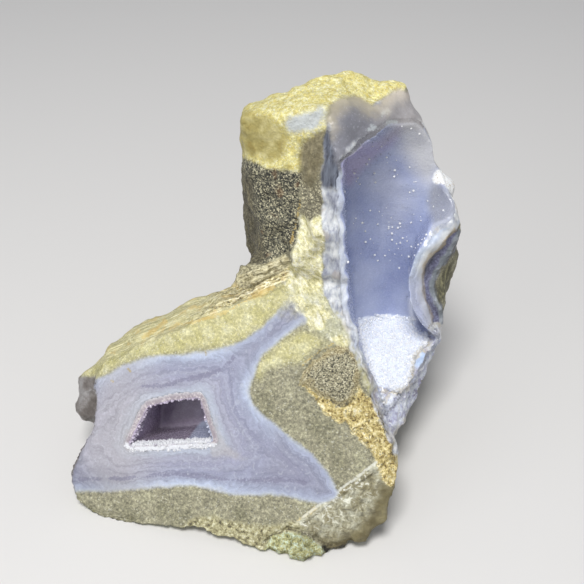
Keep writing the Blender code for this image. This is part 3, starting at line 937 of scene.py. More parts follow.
# Where glints are painted on the niche's wall.
WALL_GLINTS = (
    (378, 165), (398, 160), (412, 190), (418, 225), (405, 245), (385, 240), (372, 215), (380, 190),
)
LEFT_OF_NICHE = 372
RIGHT_OF_NICHE = 404
LOBE_TOP = 215
LOBE_BOTTOM = 345
CURTAIN_FROM = 366
CURTAIN_TO = 376
CURTAIN_BELOW = (128, 150)
SHELF_FRONT = (335, 350)
POCKET_BOTTOM = (442, 444)
WALL_CLOUD = ((370, 175), (390, 165), (405, 180), (412, 205), (400, 232), (385, 225), (374, 200))


# Rays of the view

def on_saw(pixel):
    """The place on the sawn plane that shows at a pixel."""
    x, y = pixel
    ray = LOOK * FOCAL + LOOK_RIGHT * (x - VIEW_SIZE / 2) - LOOK_UP * (y - VIEW_SIZE / 2)
    return EYE + ray * ((FACE_FOOT - EYE).dot(OUT) / ray.dot(OUT))


def facing(directions):
    """1 where the surface turns to the view, 0 where it turns away."""
    return ease(directions @ -np.array(LOOK), -0.05, 0.2)


# Forms that only the fine mesh has

LOWER_BREAK_SLOPE = 0.32
LOWER_BREAK_REACH = 24.0
LOWER_BREAK_HEIGHT = 12.0
SMALL_LUMPS = (
    ((9.8, 36.2, 50.6), 2.1), ((12.2, 36.2, 50.0), 2.2), ((13.4, 35.8, 49.8), 1.9),
    ((20.9, 36.0, 36.4), 1.7), ((21.0, 32.6, 26.3), 2.8), ((20.7, 32.6, 24.0), 2.3),
    ((20.4, 33.0, 21.6), 2.0), ((10.4, 5.2, 5.2), 2.4), ((8.9, 4.4, 3.0), 2.2), ((11.6, 6.4, 9.6), 2.0),
    ((-28.5, 20.6, 9.2), 2.3), ((-4.0, 33.0, 33.0), 3.1), ((-4.0, 32.0, 30.2), 2.7),
    ((-27.6, 6.4, 3.2), 2.6),
)
CRUMBLE_LUMPS = (
    ((1.1, 2.8, 1.3), 2.1), ((-1.3, 3.5, 1.0), 1.6), ((3.6, 3.3, 1.1), 1.6), ((6.0, 3.9, 1.1), 1.3),
)
LIP = (
    (7.3, 22.1, 47.4), (9.6, 24.9, 48.3), (11.9, 27.4, 48.5), (14.6, 30.4, 49.5),
    (5.0, 24.5, 47.4), (7.3, 27.0, 48.5), (9.8, 29.4, 48.7), (12.6, 32.4, 49.8),
    (7.3, 22.1, 54.0), (14.6, 30.4, 54.0), (5.0, 24.5, 54.0), (12.6, 32.4, 54.0),
)


def lower_break():
    """What is broken off below the white ridge at the face's lower right."""
    start, end = on_saw(RIDGE_LEFT), on_saw(RIDGE_RIGHT)
    along = (end - start).normalized()
    down = along.cross(OUT).normalized()
    start, end = start - along * 6.0, end + along * 12.0
    far = down * LOWER_BREAK_REACH - OUT * LOWER_BREAK_REACH * LOWER_BREAK_SLOPE
    corners = [start, end, start + far, end + far]
    return hull("lower_break", corners + [corner + OUT * LOWER_BREAK_HEIGHT for corner in corners])


def sawn(points, directions):
    """Whether each vertex lies on the sawn face."""
    out = on_face_at(points)[:, 2]
    return (np.abs(out) < 0.22) & (directions @ np.array(OUT) > 0.8)


def shape_stone(stone, niche):
    """Flattens the sawn face, breaks its margins and roughens the rest."""
    points = places(stone)
    directions = normals(stone)
    face = sawn(points, directions)
    local = on_face_at(points)
    points = points - np.outer(np.where(face, local[:, 2], 0.0), np.array(OUT))
    pixels = seen_at(points)
    seen = facing(directions)
    broken = region(pixels, BROKEN_RIGHT)
    patch = region(pixels, PATCH)
    crumble = region(pixels, CRUMBLE)
    rock = np.maximum(crumble, region(pixels, DARK_ROCK))
    honey_and_shade = region(pixels, HONEY_AND_SHADE_EDGE)
    arc = from_line(pixels, CRUMBLE_ARC)
    outwards = directions @ np.array(OUT)
    soft = ease(local[:, 2], -2.2, -0.4) * ease(outwards, 0.2, 0.7)
    drop = 0.15 * ease(broken, 0.0, 0.35) + 0.15 * np.clip(broken, 0.0, 6.0)
    drop = drop - 0.55 * ease(patch, 0.0, 0.5) - 0.25 * ease(patch, 0.5, 2.0)
    margin = within(local[:, :2], np.array(FACE_OUTLINE))
    drop = drop + 0.7 * (1.0 - ease(margin, -0.2, 1.3)) * (local[:, 0] < -22.0)
    points = points - np.outer(np.clip(drop, -0.4, 3.0) * soft, np.array(OUT))
    lower = ease(outwards, 0.0, 0.5) * ease(local[:, 2], -9.0, -5.0)
    drop = 0.06 * np.clip(honey_and_shade, 0.0, 5.0) * (rock < 0.0)
    drop = drop + 0.5 * bell(arc, 0.25)
    points = points - np.outer(np.clip(drop, 0.0, 2.2) * lower, np.array(OUT))

    loose = ~face | (broken > 0.1) | (crumble > 0.0) | (arc < 0.5)
    coarse = noise_at(points, 1.5, 3.1)
    ridged = ridges_at(points, 1.3, 7.7) - 0.5
    wave = 0.12 * coarse + 0.16 * ridged
    wave = wave * (1.0 - 0.75 * seen * inside(pixels, LIP_FACE, -0.2, 0.5))
    wave = wave + 0.4 * ease(rock, 0.0, 0.5) * ridged
    strip = region(pixels, TOP_STRIP)
    layers = np.sin((local[:, 1] - 0.58 * local[:, 0]) * 5.0 + 2.5 * noise_at(points, 3.0, 5.0))
    wave = wave + ease(strip, 0.0, 0.4) * seen * (0.16 * layers + 0.15 * ridged)
    wave = wave * (1.0 - 0.6 * ease(-points[:, 0], 6.0, 15.0) * ease(strip, -1.0, 0.4))
    wave = wave + inside(pixels, LEDGE, 0.0, 0.3) * seen * (0.5 + 0.3 * ridged)
    wave = wave - 0.45 * bell(from_line(pixels, LEDGE_CREVICE), 0.25) * seen
    streaks = noise_at(points * (1.0, 1.0, 0.6), 1.1, 6.6)
    knobbly = 0.12 * coarse + 0.16 * ridged + 0.12 * streaks
    wave = wave + inside(pixels, CRUST, 0.0, 0.6) * seen * knobbly
    wave = wave + inside(pixels, OCHRE_STRIP, 0.0, 0.4) * seen * 0.35 * (ridges_at(points, 0.8, 1.9) - 0.4)
    beyond = ease(distance_to(points, niche), 0.7, 1.9)
    wave = wave * beyond + 0.07 * (1.0 - beyond)
    wave = wave + margin_relief(points, pixels, seen, -wave)
    points = points + directions * (wave * loose)[:, None] + scalloped(points, pixels)

    under = (directions[:, 2] < -0.8) & (places(stone)[:, 2] < 0.2)
    points[under, 2] = 0.0
    points[:, 2] = np.maximum(points[:, 2], 0.0)
    set_places(stone, points)


def scalloped(points, pixels):
    """How far the niche's left edge swings to either side, in millimetres."""
    upright = points * (0.0, 0.0, 1.0)
    swing = 0.5 * noise_at(upright, 1.9, 5.3) + 0.35 * noise_at(upright, 0.8, 9.4)
    rim = np.array([ring[0] for ring in reversed(NICHE_RINGS)])
    behind = np.maximum(points[:, 1] - np.interp(points[:, 2], rim[:, 2], rim[:, 1]), 0.0)
    near = bell(from_line(pixels, NICHE_EDGE), 1.0) * bell(behind, 1.2)
    return np.outer(swing * near, (1.0, 0.0, 0.0))


def margin_relief(points, pixels, seen, plain):
    """Folds, ridges and beads round the niche, along the normals; plain is added under the folds."""
    top = inside(pixels, CURTAIN_TOP, -0.3, 0.2)
    bare = (1.0 - inside(pixels, LIP_FACE, -0.2, 0.5)) * (1.0 - inside(pixels, CURTAIN_END, -0.3, 0.2))
    left = (pixels[:, 0] < LEFT_OF_NICHE) & (from_line(pixels, RIM_INNER) > 3.0)
    on_curtain = inside(pixels, CURTAIN, 0.0, 0.6) * bare * left
    lumps = noise_at(points * (1.0, 1.0, 0.42), 1.3, 9.2)
    knobs = noise_at(points * (1.0, 1.0, 0.6), 0.75, 2.2)
    grooves = noise_at(points * (1.0, 1.0, 0.16), 0.7, 4.4)
    folds = (1.0 - top) * (0.18 * lumps + 0.30 * knobs) + (0.10 + 0.06 * top) * grooves
    relief = on_curtain * (folds + 0.6 * plain)
    right = (pixels[:, 0] > RIGHT_OF_NICHE) & (pixels[:, 1] > LOBE_TOP) & (pixels[:, 1] < LOBE_BOTTOM)
    lobe = 0.2 * bell(from_line(pixels, RIM_RIDGE), 0.3) - 0.5 * bell(from_line(pixels, RIM_GROOVE), 0.45)
    relief = relief + right * (lobe + 0.06 * lumps)
    relief = relief + inside(pixels, BEADS, -0.1, 0.4) * (0.4 * noise_at(points, 1.0, 15.0) - 0.35)
    return relief * seen


def thin_out(piece, limit, keep):
    """Takes triangles away, mostly where keep is 0, until their number is below limit."""
    group = piece.vertex_groups.new(name="spare")
    levels = np.round(1.0 - keep, 1)
    for level in np.unique(levels):
        if level > 0.0:
            group.add([int(i) for i in np.nonzero(levels == level)[0]], float(level), "REPLACE")
    piece.data.calc_loop_triangles()
    fewer = piece.modifiers.new("fewer", "DECIMATE")
    fewer.ratio = min(1.0, limit / len(piece.data.loop_triangles))
    fewer.vertex_group = "spare"
    fewer.vertex_group_factor = 1.0
    return as_mesh(piece, piece.name)


# What lies where on the stone

HIDDEN_DEPTH = 1.6
CAP_FOOT = 46.5
FAR_AWAY = 9.0


def blend_in(seen, from_view, from_rule):
    return seen * from_view + (1.0 - seen) * from_rule


def shallow(values):
    """Depths into an outline, kept small so that noise can still break them up."""
    return np.clip(values, -HIDDEN_DEPTH, HIDDEN_DEPTH)


def map_stone(stone, niche):
    """Writes, for each material of the stone, how far inside it a vertex lies, in millimetres."""
    points = places(stone)
    directions = normals(stone)
    pixels = seen_at(points)
    shift = jitter(points, 1.6, (12.0, 21.0))
    ragged = pixels + 3.2 * shift
    seen = facing(directions)
    local = on_face_at(points)
    height = points[:, 2]
    broad = noise_at(points, 8.0, 1.5)
    small = noise_at(points, 3.0, 4.5)
    on_leg = ease(height, 24.0, 30.0)
    up = ease(directions[:, 2], 0.5, 0.8)
    low = np.full(len(points), -2.0)
    from_niche = distance_to(points, niche)
    rock = 4.0 * broad + 1.2 * small - 0.4
    stained = 2.4 * small - 0.5 - 0.8 * np.abs(rock)

    def layer(name, outline, rule, at=ragged):
        depth = region(at, outline)
        view = np.where(seen > 0.6, depth, shallow(depth))
        set_attribute(stone, name, blend_in(seen, view, shallow(rule)))

    layer("cap", CAP, 0.5 * (height - CAP_FOOT) + 3.0 * broad + 1.2 * small)
    layer("honey", HONEY, low + 3.0 * broad * ease(height, 44.0, 48.0))
    layer("white_patch", WHITE_PATCH, -1.5 + 2.0 * small)
    layer("brown", BROWN, -1.0 + 2.0 * small)
    layer("matrix", MATRIX_LEG, rock)
    layer("pale_matrix", PALE_MATRIX, 2.0 * small - 0.6)
    layer("fibre", FIBRE, 2.0 * broad - 2.0)
    layer("crust", CRUST, 2.0 * small - 1.6)
    layer("strip", TOP_STRIP, 3.0 * up - 1.0 + 2.0 * broad - 4.0 * on_leg)
    layer("ledge", LEDGE, low)
    tinted = np.maximum(region(ragged, TOP_CHERT), region(ragged, LOBE_TINT) - 0.5)
    set_attribute(stone, "top_chert", blend_in(seen, tinted, low + ease(height, 12.0, 24.0)))
    layer("bottom", BOTTOM_OCHRE, 1.2 - height + 1.5 * small)
    layer("rock", DARK_ROCK, low)
    layer("patch", PATCH, low)
    layer("ochre", OCHRE_STRIP, stained)
    layer("glassy", GLASSY, 2.0 * broad - 1.4, pixels)
    layer("honey_and_shade", HONEY_AND_SHADE_EDGE, 2.0 * broad - 1.0)
    layer("wedge", WEDGE, low)
    layer("crumble", CRUMBLE, 1.5 * small + 1.0 - height * 0.7)
    layer("skin", SKIN, 1.5 * small - 2.0)
    rim = 2.4 - from_niche + 0.8 * small
    edging = region(ragged, CURTAIN)
    on_right = (pixels[:, 0] > RIGHT_OF_NICHE) & (height < 46.0)
    edging = np.where(on_right, np.minimum(edging, rim), edging)
    set_attribute(stone, "curtain", blend_in(seen, shallow(edging), shallow(rim)))

    flat = points - np.outer(local[:, 2] - 0.25 * np.abs(local[:, 2]) * small, np.array(OUT))
    deep = ease(-local[:, 2], 6.0, 16.0)
    through = region(seen_at(flat), VEIN) - 6.0 * deep
    near_face = ease(local[:, 2], -1.2, -0.4)
    set_attribute(stone, "vein", blend_in(near_face, region(pixels + shift, VEIN), through))
    set_attribute(stone, "from_pocket", -within(local[:, :2], np.array(POCKET_MOUTH)))

    def line(name, lines, where):
        gap = np.min([from_line(pixels + shift, one) for one in lines], axis=0)
        set_attribute(stone, name, np.where(where, gap, FAR_AWAY))

    line("ochre_seam", OCHRE_SEAMS, seen > 0.5)
    line("dark_seam", DARK_SEAMS, near_face > 0.0)
    line("ridge_line_and_highlight", (RIDGE_LINE_AND_HIGHLIGHT,), seen > 0.5)
    line("dot", RUST_DOTS, seen > 0.5)
    # Painted shade, partly a real dark crevice: dark lines under the crumble's arc, in the ledge's crevice
    # and below the patch.
    line("arc", (CRUMBLE_ARC, LEDGE_CREVICE, PATCH_SHADOW), seen > 0.5)
    face = ease(-np.abs(local[:, 2]), -1.3, -0.2) * ease(directions @ np.array(OUT), 0.5, 0.85)
    set_attribute(stone, "sawn", face * (region(pixels, BROKEN_RIGHT) < 0.1))
    for name, values in map_margin(points, pixels, seen).items():
        set_attribute(stone, name, values)


def map_margin(points, pixels, seen):
    """What lies where round the niche, the same for the stone and for the crust."""
    ragged = pixels + 2.4 * jitter(points, 1.1, (33.0, 41.0))
    found = {}
    for name, outline in (
        ("lip", LIP_FACE), ("curtain_top", CURTAIN_TOP), ("curtain_end", CURTAIN_END), ("beads", BEADS),
        ("notch", NOTCH), ("crest", tuple(RIM_INNER) + tuple(reversed(RIM_EDGE))),
    ):
        found[name] = np.where(seen > 0.15, region(ragged, outline), -FAR_AWAY)
    for name, lines in (
        ("edge", (RIM_EDGE,)), ("groove", (RIM_GROOVE,)), ("ridge", (RIM_RIDGE,)), ("bead", (BEAD,)),
        ("spots", LIP_SPOTS),
    ):
        gap = np.min([from_line(ragged, line) for line in lines], axis=0)
        found[name] = np.where(seen > 0.15, gap, FAR_AWAY)
    return found


# Materials

FAR_BANDS_START = 5.0
FAR_BANDS_END = 10.0
VEIN_BANDS = (
    (0.00, (184, 177, 174)), (0.06, (174, 170, 172)), (0.12, (173, 178, 190)), (0.25, (175, 180, 194)),
    (0.33, (157, 158, 174)), (0.42, (163, 164, 181)), (0.50, (152, 153, 173)), (0.58, (163, 165, 183)),
    (0.66, (145, 147, 168)), (0.74, (155, 158, 178)), (0.84, (158, 163, 183)), (0.90, (173, 181, 201)),
    (0.95, (188, 197, 215)), (1.00, (192, 198, 208)),
)
FAR_BANDS = (
    (0.0, (180, 187, 200)), (0.15, (164, 170, 190)), (0.34, (146, 149, 168)), (0.52, (153, 155, 173)),
    (0.72, (142, 143, 163)), (1.0, (150, 151, 168)),
)
LEFT_GREY = (175, 171, 173)
SAW_STROKES = ACROSS * 0.7 + UP * 0.75
STRIP_FIBRES = ACROSS * 0.86 + UP * 0.5
DRAPED = (0.05, 0.1, 1.0)
UPRIGHT = (0.0, 0.1, 1.0)


class Margin(Shader):
    """The colours round the niche, which the stone and the niche's crust share."""

    def __init__(self, name, fine_scale, middle_scale):
        super().__init__(name)
        self.fine = self.around(self.noise(fine_scale, 3.0))
        self.middle = self.around(self.noise(middle_scale, 3.0))

    def hard_mask(self, name, soft=0.25):
        return self.step(self.madd(self.fine, 0.4, self.attribute(name)), -soft, soft)

    def thin_line(self, name, width):
        value = self.madd(self.fine, 0.3, self.attribute(name))
        return self.rest(self.step(value, width * 0.3, width))


def curtain_colour(s, folds):
    """The pale folded edge along the niche's left side."""
    knobs = s.noise(1.0, 3.0, 0.6, at=s.stretched(UPRIGHT, 0.8, 1.9))
    broad = s.noise(0.35, 2.0, at=s.moved((4.0, 1.0, 8.0)))
    colour = s.ramp(s.madd(broad, 0.8, s.times(knobs, 0.6)), (
        (0.48, (124, 127, 144)), (0.60, (164, 168, 180)), (0.71, (198, 201, 204)),
        (0.84, (224, 225, 224)),
    ))
    # Painted shade: the colour darkens in the hollows of the folds.
    colour = s.shaded(colour, s.madd(folds, 0.5, 0.74))
    warm = s.step(s.noise(0.5, 3.0, at=s.moved((0.0, 17.0, 2.0))), 0.53, 0.66)
    colour = s.mix(s.times(warm, 0.5), colour, (178, 166, 154))
    top = s.ramp(folds, ((0.34, (62, 64, 72)), (0.46, (82, 86, 98)), (0.62, (108, 114, 126))))
    colour = s.mix(s.hard_mask("curtain_top", 0.7), colour, top)
    end = s.ramp(s.noise(0.9, 3.0, 0.6, at=s.moved((3.0, 8.0, 1.0))), (
        (0.36, (176, 172, 134)), (0.5, (196, 194, 172)), (0.62, (206, 208, 208)),
    ))
    return s.mix(s.hard_mask("curtain_end", 0.4), colour, end)


def lip_colour(s):
    """The smooth translucent edge above the niche."""
    right = s.step(s.axis(0), 8.0, 15.0)
    colour = s.mix(right, (126, 126, 133), (164, 160, 160))
    colour = s.shaded(colour, s.blend(s.noise(0.8, 4.0, 0.6), 0.80, 1.18))
    colour = s.shaded(colour, s.madd(s.fine, 0.35, 1.0))
    sugar = s.step(s.noise(2.6, 3.0, 0.7, at=s.moved((7.0, 3.0, 1.0))), 0.56, 0.68)
    colour = s.mix(s.times(sugar, 0.3), colour, (196, 198, 208))
    ragged = s.madd(s.fine, 1.2, s.attribute("spots"))
    spots = s.rest(s.step(ragged, 0.1, 0.45))
    return s.mix(s.times(spots, 0.5), colour, (204, 211, 212))


def crest_colour(s, high, grain):
    """The white brim of the lobe, paler along its edge and painted lighter towards the top, where more light
    falls.
    """
    colour = s.mix(high, (176, 181, 203), (180, 189, 204))
    brink = s.step(s.attribute("edge"), 1.2, 0.3)
    colour = s.mix(s.times(brink, s.blend(high, 0.35, 0.7)), colour, (214, 213, 206))
    colour = s.shaded(colour, s.blend(grain, 0.95, 1.05))
    return s.shaded(colour, s.madd(s.middle, 0.3, 1.0))


def beads_colour(s):
    """The small round lumps below the crystal floor."""
    colour = s.ramp(s.noise(1.0, 3.0, 0.6, at=s.moved((9.0, 2.0, 4.0))), (
        (0.30, (150, 146, 166)), (0.44, (182, 184, 206)), (0.52, (204, 208, 222)),
        (0.66, (230, 234, 240)),
    ))
    veins = s.around(s.noise(0.8, 3.0, 0.6, at=s.moved((1.0, 5.0, 7.0))))
    veins = s.step(s.math("ABSOLUTE", veins), 0.005, 0.03)
    colour = s.mix(s.rest(veins), colour, (234, 238, 242))
    outer = s.step(s.attribute("beads"), 1.1, 0.3)
    stained = s.times(outer, s.blend(s.step(s.middle, -0.1, 0.1), 0.2, 0.7))
    colour = s.mix(stained, colour, (184, 174, 152))
    return s.mix(s.thin_line("bead", 0.7), colour, (190, 208, 236))


def with_lobe(s, colour, grain):
    """Lays the crest at the niche's right, the groove and ridge behind it and the beads on a colour, with
    painted shade along the groove and painted light on the crest's upper part.
    """
    # Painted shade: a dark band along the groove, and the groove's purple band darkened as if in shadow.
    behind = s.mix(s.step(s.middle, -0.12, 0.12), (88, 84, 84), (112, 112, 122))
    colour = s.mix(s.step(s.attribute("groove"), 1.4, 0.9), colour, behind)
    groove = s.mix(s.step(s.fine, -0.1, 0.1), (92, 92, 116), (124, 126, 150))
    colour = s.mix(s.thin_line("groove", 0.8), colour, groove)
    ridge = s.mix(s.step(s.middle, -0.06, 0.12), (126, 132, 138), (176, 182, 190))
    colour = s.mix(s.thin_line("ridge", 0.5), colour, ridge)
    # Painted light: high is 1 towards the top of the lobe, where the crest is painted lighter and its edge
    # marks stronger.
    high = s.step(s.axis(2), 25.0, 31.0)
    colour = s.mix(s.hard_mask("crest", 0.15), colour, crest_colour(s, high, grain))
    tan = s.times(s.thin_line("edge", 0.26), s.blend(high, 0.35, 0.7))
    colour = s.mix(tan, colour, (188, 172, 142))
    colour = s.mix(s.hard_mask("beads", 0.15), colour, beads_colour(s))
    notch = s.mix(s.step(s.fine, -0.18, -0.04), (206, 196, 178), (244, 245, 245))
    return s.mix(s.hard_mask("notch", 0.2), colour, notch)


class StoneShader(Margin):
    """The stone's material: its rocks, its vein and the margins, each inside its own outline."""

    def __init__(self):
        super().__init__("chalcedony_in_chert", 3.4, 0.9)
        self.wide = self.around(self.noise(0.3, 2.0))
        self.broad = self.noise(0.22, 3.0)
        self.grain = self.random_cells(4.6)[0]
        # The second random number picks the cells where glints are painted.
        self.speck, self.glint_cells = self.random_cells(6.0, (31.0, 7.0, 3.0))
        self.sugar = self.noise(2.5, 3.0, 0.75)
        self.strokes = self.noise(1.0, 3.0, 0.65, at=self.stretched(SAW_STROKES, 2.4, 6.5))
        self.crumbs = self.ramp_value(self.sugar, (
            (0.32, 0.50), (0.42, 0.78), (0.50, 1.0), (0.58, 1.28), (0.70, 1.8),
        ))
        self.upright = self.noise(1.0, 4.0, 0.6, at=self.stretched(UPRIGHT, 0.3, 3.2))
        self.folds = self.noise(1.0, 4.0, 0.6, at=self.stretched(DRAPED, 0.22, 2.6))

    def mask(self, name, soft=0.12, wobble=0.5, raggedness=0.5):
        """A share of 1 inside an outline, with a toothed edge."""
        value = self.madd(self.fine, wobble, self.attribute(name))
        value = self.madd(self.middle, raggedness, value)
        return self.step(value, -soft, soft)

    def near(self, name, width, wobble=0.15, broken=0.0):
        """A share of 1 beside a line, which may break off here and there."""
        value = self.madd(self.fine, wobble * 2, self.attribute(name))
        value = self.madd(self.wide, broken * 2, value)
        return self.rest(self.step(value, width * 0.3, width))

    def grained(self, colour, low, high):
        return self.shaded(colour, self.blend(self.grain, low, high))

    def specked(self, colour, low, high):
        return self.shaded(colour, self.blend(self.speck, low, high))

    def crumbly(self, colour, contrast, least):
        return self.shaded(colour, self.madd(self.crumbs, contrast, least))

    # Painted glints: near-white flecks on random cells, where grains would catch the light.
    def glint_flecked(self, colour, low, strength):
        return self.mix(self.times(self.step(self.glint_cells, low, 1.0), strength), colour, (240, 240, 226))


# The rocks round the vein


def chert_colour(s):
    colour = s.ramp(s.broad, (
        (0.3, (128, 125, 100)), (0.5, (149, 145, 121)), (0.7, (160, 157, 129)),
    ))
    colour = s.shaded(s.grained(colour, 0.90, 1.08), s.crumbs)
    colour = s.shaded(colour, s.ramp_value(s.strokes, (
        (0.30, 0.84), (0.45, 0.98), (0.58, 1.04), (0.72, 1.16),
    )))
    colour = s.shaded(colour, s.blend(s.step(s.axis(0), -4.0, 4.0), 1.0, 0.95))
    return s.glint_flecked(colour, 0.93, 0.3)


def top_chert_colour(s):
    colour = s.ramp(s.noise(0.6, 3.0), (
        (0.35, (184, 178, 120)), (0.5, (196, 190, 138)), (0.65, (208, 204, 160)),
    ))
    colour = s.glint_flecked(s.crumbly(colour, 0.55, 0.46), 0.9, 0.3)
    return s.mix(s.times(s.step(s.strokes, 0.58, 0.7), 0.2), colour, (240, 238, 220))


def strip_colour(s):
    """The layered strip along the top of the foot, evener on its left."""
    fibres = s.noise(1.0, 4.0, 0.6, at=s.stretched(STRIP_FIBRES, 0.3, 4.5))
    colour = s.ramp(fibres, (
        (0.35, (62, 54, 38)), (0.42, (134, 120, 82)), (0.49, (188, 176, 126)),
        (0.56, (224, 214, 170)),
        (0.65, (248, 243, 215)),
    ))
    colour = s.crumbly(s.glint_flecked(s.grained(colour, 0.76, 1.18), 0.82, 0.4), 0.4, 0.66)
    even = s.times(s.step(s.axis(0), -6.0, -15.0), 0.62)
    colour = s.mix(even, colour, s.mix(fibres, (190, 186, 136), (216, 212, 166)))
    amber = s.step(s.noise(0.7, 3.0, at=s.moved((2.0, 1.0, 5.0))), 0.52, 0.64)
    return s.mix(s.times(amber, 0.35), colour, (216, 184, 112))


def speckled_colour(s):
    colour = s.ramp(s.speck, (
        (0.00, (36, 36, 32)), (0.22, (68, 68, 58)), (0.42, (108, 105, 89)), (0.64, (138, 134, 111)),
        (0.84, (190, 184, 154)),
    ), "CONSTANT")
    return s.grained(colour, 0.75, 1.25)


def leg_colour(s):
    """The dark speckled rock of the upright, browner and fibrous on its left."""
    brown = s.ramp(s.upright, ((0.35, (48, 44, 32)), (0.5, (88, 82, 62)), (0.68, (134, 126, 96))))
    brown = s.specked(brown, 0.7, 1.25)
    colour = s.mix(s.times(s.mask("fibre", 0.6), 0.8), speckled_colour(s), brown)
    rust = s.step(s.noise(0.5, 2.0, at=s.moved((5.0, 0.0, 9.0))), 0.62, 0.72)
    return s.mix(s.times(rust, 0.35), colour, (134, 98, 60))


def pale_leg_colour(s):
    return s.mix(0.3, s.grained(speckled_colour(s), 0.9, 1.5), (168, 160, 132))


def cap_colour(s):
    colour = s.ramp(s.noise(1.3, 5.0, 0.75), (
        (0.30, (182, 162, 84)), (0.43, (204, 191, 116)), (0.54, (216, 208, 144)),
        (0.68, (238, 234, 196)),
    ))
    colour = s.shaded(colour, s.blend(s.step(s.axis(0), 6.0, 12.0), 1.0, 1.11))
    return s.glint_flecked(s.crumbly(s.grained(colour, 0.92, 1.08), 0.4, 0.64), 0.8, 0.5)


def honey_colour(s):
    colour = s.ramp(s.noise(0.5, 3.0, 0.6), (
        (0.35, (154, 138, 74)), (0.5, (172, 160, 98)), (0.65, (198, 188, 132)),
    ))
    return s.grained(colour, 0.97, 1.03)


def brown_colour(s):
    colour = s.ramp(s.middle, ((0.0, (112, 104, 78)), (0.25, (142, 134, 106))))
    return s.shaded(s.grained(colour, 0.82, 1.18), s.madd(s.upright, 1.6, 0.26))


def white_colour(s):
    return s.grained(s.mix(s.fine, (192, 198, 202), (212, 217, 222)), 0.95, 1.04)


def crust_colour(s):
    """The pale crust beside the niche, which clears to chert further down."""
    colour = s.ramp(s.noise(1.0, 5.0, 0.7, at=s.stretched((0.5, -0.5, -0.6), 0.5, 1.5)), (
        (0.30, (158, 148, 98)), (0.40, (202, 196, 146)), (0.48, (226, 220, 172)),
        (0.60, (246, 243, 220)),
    ))
    clear = s.grained(s.mix(s.broad, (166, 166, 138), (188, 188, 160)), 0.94, 1.05)
    clearing = s.step(s.noise(0.45, 3.0, at=s.moved((4.0, 4.0, 12.0))), 0.48, 0.56)
    clearing = s.times(clearing, s.step(s.axis(2), 32.0, 27.0))
    colour = s.crumbly(s.mix(s.times(clearing, 0.8), colour, clear), 0.4, 0.62)
    return s.glint_flecked(s.grained(colour, 0.9, 1.06), 0.84, 0.5)


def patch_colour(s):
    """The speckled patch on the sawn face, stained along its rim."""
    colour = s.ramp(s.random_cells(8.0, (3.0, 17.0, 5.0))[0], (
        (0.00, (58, 56, 48)), (0.14, (100, 96, 78)), (0.32, (144, 138, 112)), (0.62, (172, 166, 138)),
        (0.86, (204, 198, 170)),
    ), "CONSTANT")
    stain = s.step(s.madd(s.middle, 2.5, s.attribute("patch")), 1.1, 0.2)
    return s.mix(s.times(stain, 0.3), s.crumbly(colour, 0.4, 0.72), (200, 178, 118))


def glassy_colour(s):
    """The greyish quartz below the white line, with painted highlights and shade on its flakes and painted
    glints along its broken edge.
    """
    colour = s.ramp(s.noise(0.6, 4.0, 0.65), (
        (0.34, (132, 124, 92)), (0.5, (164, 159, 132)), (0.64, (192, 190, 168)),
    ))
    flake_highlights = s.noise(1.2, 4.0, 0.7, at=s.moved((1.0, 6.0, 2.0)), distortion=0.8)
    # Painted highlights and shade: the flakes are made lighter and darker.
    colour = s.shaded(colour, s.ramp_value(flake_highlights, (
        (0.34, 0.52), (0.45, 0.92), (0.55, 1.14), (0.66, 1.58),
    )))
    colour = s.crumbly(colour, 0.3, 0.7)
    near_seam = s.step(s.attribute("ridge_line_and_highlight"), 5.5, 0.5)
    # Painted glints near the ridge.
    glints = s.times(s.step(flake_highlights, 0.54, 0.60), near_seam)
    return s.mix(s.times(glints, 0.8), colour, (236, 237, 226))


# Partly real colour and partly painted shade: a darker honey where the lower edge turns away from the light.
def honey_and_shade_colour(s):
    return s.ramp(s.noise(0.7, 3.0), ((0.35, (98, 88, 56)), (0.6, (132, 122, 84))))


def ochre_colour(s):
    colour = s.ramp(s.noise(1.8, 5.0, 0.75), (
        (0.36, (80, 68, 44)), (0.42, (152, 131, 79)), (0.49, (198, 180, 118)),
        (0.56, (228, 213, 158)),
        (0.66, (246, 240, 212)),
    ))
    specks = s.times(s.step(s.speck, 0.78, 0.80), s.step(s.middle, -0.02, 0.1))
    return s.grained(s.mix(s.times(specks, 0.7), colour, (84, 78, 66)), 0.92, 1.18)


def bottom_colour(s):
    colour = s.ramp(s.noise(1.8, 4.0, 0.7, at=s.moved((3.0, 3.0, 3.0))), (
        (0.36, (74, 68, 48)), (0.44, (146, 138, 100)), (0.54, (190, 184, 142)),
        (0.66, (222, 220, 192)),
    ))
    return s.grained(colour, 0.75, 1.15)


def dark_rock_colour(s):
    return s.grained(s.mix(s.middle, (44, 40, 30), (86, 82, 66)), 0.8, 1.2)


def crumble_colour(s):
    colour = s.ramp(s.noise(1.9, 5.0, 0.75), (
        (0.34, (92, 92, 62)), (0.43, (150, 150, 106)), (0.50, (192, 186, 128)),
        (0.56, (190, 204, 178)),
        (0.66, (222, 230, 208)),
    ))
    return s.grained(colour, 0.75, 1.15)


def skin_colour(s):
    colour = s.ramp(s.folds, ((0.35, (66, 64, 48)), (0.5, (98, 96, 76)), (0.65, (142, 138, 106))))
    return s.grained(colour, 0.85, 1.15)


def ledge_colour(s):
    colour = s.ramp(s.noise(1.0, 4.0, 0.7, at=s.stretched(STRIP_FIBRES, 0.8, 4.0)), (
        (0.32, (66, 62, 48)), (0.42, (138, 130, 102)), (0.52, (192, 184, 148)),
        (0.66, (226, 220, 188)),
    ))
    return s.crumbly(colour, 0.3, 0.8)


def capped_lip_colour(s):
    """The lip, tan where it meets the cap."""
    tan = s.mix(s.step(s.axis(0), 8.0, 15.0), (178, 168, 142), (204, 194, 178))
    near_cap = s.step(s.madd(s.middle, 1.5, s.attribute("cap")), -2.6, 0.2)
    return s.mix(s.times(near_cap, 0.8), lip_colour(s), tan)


